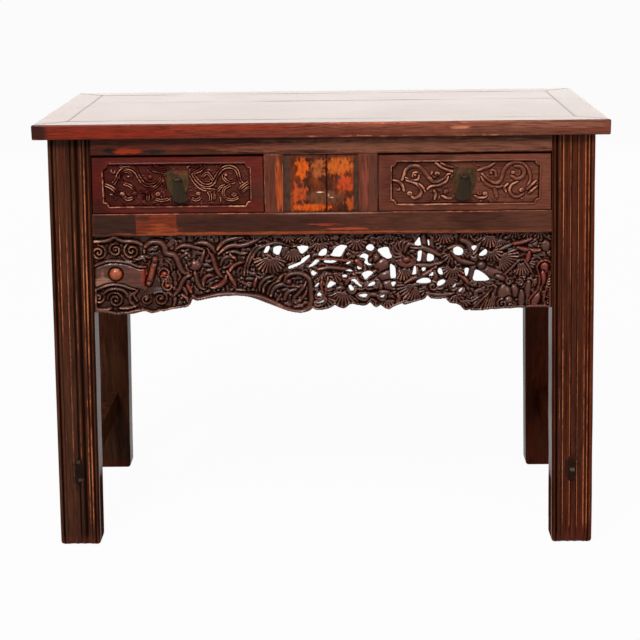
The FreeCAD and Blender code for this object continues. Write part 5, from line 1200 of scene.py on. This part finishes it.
# Drawer fronts: a plain slab with a sunk field inside a raised bead whose corners are
# indented; scrolls, stems and buds stand in the field up to the level of the face.
field_width = 0.276
field_height = 0.080
field_sink = 0.004
field_level = field_sink / thousandth
field_corner = 0.009
field_middle_x = 0.2705
field_middle_z = 0.7325
bead_width = 0.003
bead_rise = 0.0012
front_cell = 0.0007
front_arris = 0.0012
carving_sheets["drawer_left"] = (-0.4123, 0.7896, 0.2086, 0.0082, 0.2107, 0.0021)
carving_sheets["drawer_right"] = (0.1210, 0.7897, 0.2072, -0.0032, 0.2100, 0.0021)
drawer_forms = {
    "left": (
        (6.6, 118, 250, 148, 210, 168, 160, 206, 122, 262, 112, 318, 142, 348, 190, 382, 240, 426, 266, 486,
         258, 534, 222, 562, 176, 596, 148),
        (4.4, 206, 244, 182, 204, 190, 160, 232, 142, 272, 158, 280, 190, 254, 206),
        (6, 44, 262, 92, 282, 132, 312, 160, 352),
        (5.4, 190, 346, 214, 372, 246, 392, 292, 378, 316, 338, 298, 294, 262, 266, 212, 250),
        (4, 176, 100, 236, 88, 300, 104, 350, 150),
        (5, 556, 190, 540, 240, 492, 284, 440, 306, 384, 314, 354, 330), (6, 420, 316, 432, 350, 428, 404),
        (4, 392, 306, 398, 350, 388, 390), (5.2, 500, 392, 556, 402, 612, 388, 640, 352),
        (3.4, 560, 200, 580, 270, 604, 330), (5.6, 438, 94, 486, 130, 540, 142, 594, 154),
        (4.6, 482, 90, 548, 112, 620, 122), (5.6, 944, 92, 904, 130, 856, 148, 806, 160),
        (4.4, 880, 90, 846, 116, 800, 130), (6, 814, 172, 838, 216, 880, 268, 932, 300, 996, 306, 1040, 314),
        (6.2, 832, 160, 872, 218, 922, 258, 982, 266, 1024, 236, 1046, 186, 1096, 118, 1160, 98, 1220, 120,
         1244, 170, 1256, 222, 1282, 254),
        (5, 920, 192, 942, 164, 974, 160, 1000, 196, 1018, 222),
        (5.2, 1216, 232, 1172, 242, 1124, 214, 1108, 176, 1140, 160), (4.6, 1054, 316, 1088, 280, 1130, 264),
        (4.8, 1172, 262, 1122, 292, 1108, 340, 1138, 384, 1192, 396, 1244, 376),
        (5.2, 1250, 304, 1288, 270, 1336, 238), (4, 1268, 330, 1310, 300, 1344, 282),
        (6, 974, 322, 992, 350, 996, 402), (4, 1020, 330, 1030, 366, 1026, 396),
        (4.8, 826, 386, 872, 398, 908, 372),
    ),
    "right": (
        (6.8, 128, 268, 158, 222, 178, 160, 222, 124, 286, 122, 338, 162, 384, 220, 428, 262, 486, 256, 536,
         226, 566, 190, 602, 168),
        (4.4, 176, 222, 226, 250, 286, 240, 300, 204), (4.4, 240, 216, 252, 184, 280, 176),
        (6, 64, 246, 118, 264, 150, 300, 160, 342),
        (6, 212, 372, 250, 408, 298, 392, 318, 340, 292, 292, 242, 266, 186, 250),
        (5.2, 562, 216, 540, 256, 480, 290, 404, 302, 370, 330), (4.4, 300, 280, 330, 312, 352, 350),
        (6.2, 434, 340, 446, 372, 438, 414), (5.2, 506, 388, 556, 408, 620, 396, 634, 350),
        (6, 450, 92, 500, 128, 556, 154, 604, 168), (4.4, 498, 92, 550, 118, 604, 130),
        (5.6, 980, 92, 930, 124, 882, 140, 828, 158),
        (6.2, 860, 214, 892, 268, 950, 304, 1016, 312, 1050, 298),
        (6.2, 866, 190, 918, 240, 980, 270, 1024, 256, 1046, 216, 1062, 160, 1104, 108, 1166, 86, 1230, 100,
         1276, 146, 1298, 200, 1298, 250, 1274, 300),
        (5, 934, 188, 956, 156, 984, 172, 990, 212),
        (6.6, 1130, 206, 1180, 236, 1232, 214, 1244, 164, 1212, 126, 1160, 120),
        (5.2, 1186, 258, 1134, 288, 1114, 340, 1144, 388, 1194, 396, 1242, 366),
        (4.8, 1084, 352, 1066, 312, 1100, 278), (5, 1268, 332, 1310, 290, 1352, 250),
        (4.4, 1286, 364, 1330, 326, 1362, 298), (6.4, 976, 322, 988, 356, 998, 402),
        (5, 786, 378, 836, 404, 886, 402, 914, 378), (3.4, 640, 210, 620, 280, 632, 340),
    ),
}
drawer_knobs = {
    "left": (
        (196, 346, 10.8), (520, 344, 10.4), (884, 340, 10), (1206, 348, 11.2), (1130, 172, 7),
        (256, 186, 6.4), (450, 192, 11), (308, 342, 10),
    ),
    "right": (
        (212, 366, 11.2), (542, 348, 10.6), (892, 366, 10.4), (1226, 334, 11.6), (1142, 176, 8.8),
        (262, 200, 6), (462, 190, 11.2), (948, 180, 7),
    ),
}


# The field's outline: a rectangle with a quarter circle taken out of each corner.
field_loop = np.concatenate([
    ray(turn * math.pi - np.linspace(0, math.pi / 2, 7)) * field_corner
    + (right_hand * field_width / 2, upper * field_height / 2)
    for turn, right_hand, upper in ((1.5, 1, 1), (2.0, -1, 1), (2.5, -1, -1), (3.0, 1, -1))])


def outside(x, z, name, capped=True):
    """Distance outside a node's box in x and z. Without a cap the box goes on upwards."""
    low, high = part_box(name)
    return np.maximum.reduce([low.x - x, x - high.x, low.z - z] + [z - high.z] * capped)


for side, hand in ((-1, "left"), (1, "right")):
    node_name = "drawer_front_" + hand
    side_sheet = "drawer_" + hand
    low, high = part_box(node_name)
    rows, columns = int((high.z - low.z) / front_cell), int((high.x - low.x) / front_cell)
    across, z = np.meshgrid(np.linspace(0, 1, columns), low.z + (high.z - low.z) * np.linspace(0, 1, rows))
    inner_edge, outer_edge = sorted((abs(low.x), abs(high.x)))
    outer_edge = leg_inner(z) - leg_inner(low.z) + outer_edge
    x = side * (inner_edge + (outer_edge - inner_edge) * (across if side > 0 else 1 - across))
    place = np.stack([x, z * 0, z], -1)
    middle_of_field = np.array((side * field_middle_x, field_middle_z))
    field_in = inside_distance(x, z, closed_edges(middle_of_field + field_loop))
    ground = 0.0004 * soft_noise(place, (0.005, 0.01, 0.005), 61)
    sunk = Carving(x, z, ground, 1.15 if side < 0 else 1.4, 0.75, 0.4)
    for count in range(110 if side < 0 else 70):
        middle = middle_of_field + (scatter.uniform(-0.13, 0.13), scatter.uniform(-0.036, 0.036))
        turns = scatter.uniform(0, 6.28) + scatter.uniform(-1.4, 1.4) * steps
        path = middle + scatter.uniform(0.004, 0.010) * steps[:, None] * ray(turns)
        sunk.strand(path, scatter.uniform(3, 6), field_level * scatter.uniform(0.3, 0.65), (0.4, 0.2), 0, 0.4)
    for width, *points in drawer_forms[hand]:
        path = sheet(side_sheet, *points)
        if side > 0:
            sunk.strand(path, width, field_level * 0.97, (0.7, 0.7), 0, 0.3)
            continue
        sunk.strand(path, width, field_level * 0.75, (0.8, 0.8), 0, 0)
        way = np.gradient(path, axis=0)
        beside = np.stack([-way[:, 1], way[:, 0]], -1) / np.linalg.norm(way, axis=1)[:, None]
        for shift in (-0.4, 0.4):
            ridge = path + beside * width * thousandth * shift
            sunk.strand(ridge, width * 0.38, field_level, (0.8, 0.8), 0, 0)
    for u, v, size in drawer_knobs[hand]:
        sunk.dome(side_sheet, u, v, size, size * 0.86, field_level, 0, 0, 0.35)

    # The field is bare under the plate, and leaves the hanging tongue room for its swing.
    swing_room = np.clip(0.0062 - 0.123 * (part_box("pull_tongue_" + hand)[1].z - z), 0.0004, 0.6 * field_sink)
    swing_room = swing_room + 0.8 * np.clip(outside(x, z, "pull_tongue_" + hand, False) - 0.0008, 0, 1)
    carved = np.minimum(np.clip(softened(sunk.height, 1), 0, field_sink), swing_room)
    carved = np.where(outside(x, z, "pull_plate_" + hand) < 0.0012, 0, carved)
    hump = bow((field_in + bead_width / 2) / (bead_width / 2)) * bead_rise
    hump = np.where((x < -0.396) & (z > 0.758), hump * 0.1, hump)
    relief = np.where(field_in < 0, hump, (carved - field_sink) * np.clip(field_in / 0.0012, 0, 1))
    margin = np.minimum.reduce([x - x[:, :1], x[:, -1:] - x, z - low.z, high.z - z])
    eased = front_arris * (1 - bow(1 - np.clip(margin / front_arris, 0, 1)))
    uneven = np.where(field_in < -bead_width, 0.00025 * soft_noise(place, (0.05, 0.05, 0.03), 63 + side), 0)
    relief = relief - eased + uneven
    stand = relief - softened(relief, 8)
    # The field is darker the deeper it is sunk, and in its hollows.
    darker_when_sunk = np.where(field_in > 0, np.clip(-relief / field_sink, 0, 1) * 0.24, 0)
    chance = np.clip(0.8 + 0.8 * soft_noise(place, (0.012, 0.05, 0.012), 67), 0.25, 1.15)
    high_up = np.clip(relief / field_sink / 0.35 + 2.0, 0, 1)
    worn_share = np.where(field_in > 0, 1.15 * chance * high_up, 0.8 * (0.55 + 0.35 * chance))
    hollow_darkening = np.clip(np.maximum(-stand / 0.0010, darker_when_sunk), 0, 1) * (margin > 0.002)
    ruddy = np.clip(0.5 + 0.9 * soft_noise(place, (0.03, 0.05, 0.03), 71), 0, 1) * (0.7 if side < 0 else 0.2)
    # The last mark darkens the front's top edge: a painted shadow of the gap under the top rail.
    marks = {"rub_and_highlight": np.clip(stand / 0.0007, 0, 1) * worn_share, "red": ruddy * (field_in < 0),
             "dirt_and_shade": np.maximum(hollow_darkening, np.clip(1 - (high.z - z) / 0.0022, 0, 1))}
    drawer_lacquer = lacquer(
        "drawer_lacquer_" + hand, (0.049, 0.0060, 0.0038), (0.076, 0.0105, 0.0064), (0.29, 0.118, 0.066),
        "X", rough=0.22, wear=0.44, seed=19 + side, gloss=0.08, fade=(0.165, 0.053, 0.030),
        red=(0.115, 0.0090, 0.0062))
    carved_slab("carved_" + node_name, node_name, x, z, low.y + bead_rise - relief, np.ones(x.shape, bool),
                high.y, drawer_lacquer, "drawer_" + hand, marks)

# Hidden wood is bare, and the pulls are brass: their plates are worn brown and the
# tongues and staples nearly black.
bare_wood = lacquer("bare_wood", (0.16, 0.095, 0.055), (0.26, 0.16, 0.09), (0.30, 0.20, 0.12), "Y", rough=0.6,
                    wear=0.3, seed=23)
plate_brass = lacquer(
    "plate_brass", (0.040, 0.021, 0.0085), (0.066, 0.037, 0.015), (0.13, 0.075, 0.030), "patches", wear=0.4,
    seed=27, blots=patches((
        (-262, 757, 12, 6, 100, 34, 12, 0.8, 1.4), (262, 754, 14, 8, 75, 34, 20, 0.7, 1.4),
    ), (-230, 20)))
tongue_brass = lacquer("tongue_brass", (0.016, 0.0095, 0.0045), (0.028, 0.017, 0.0075), (0.16, 0.11, 0.06),
                       "Z", rough=0.30, wear=0.4, seed=29, gloss=0.12)
for name in nodes:
    if name.startswith("pull_"):
        recoat(name, plate_brass if "plate" in name else tongue_brass)
    elif name.startswith(("drawer_", "top_batten")):
        recoat(name, bare_wood)
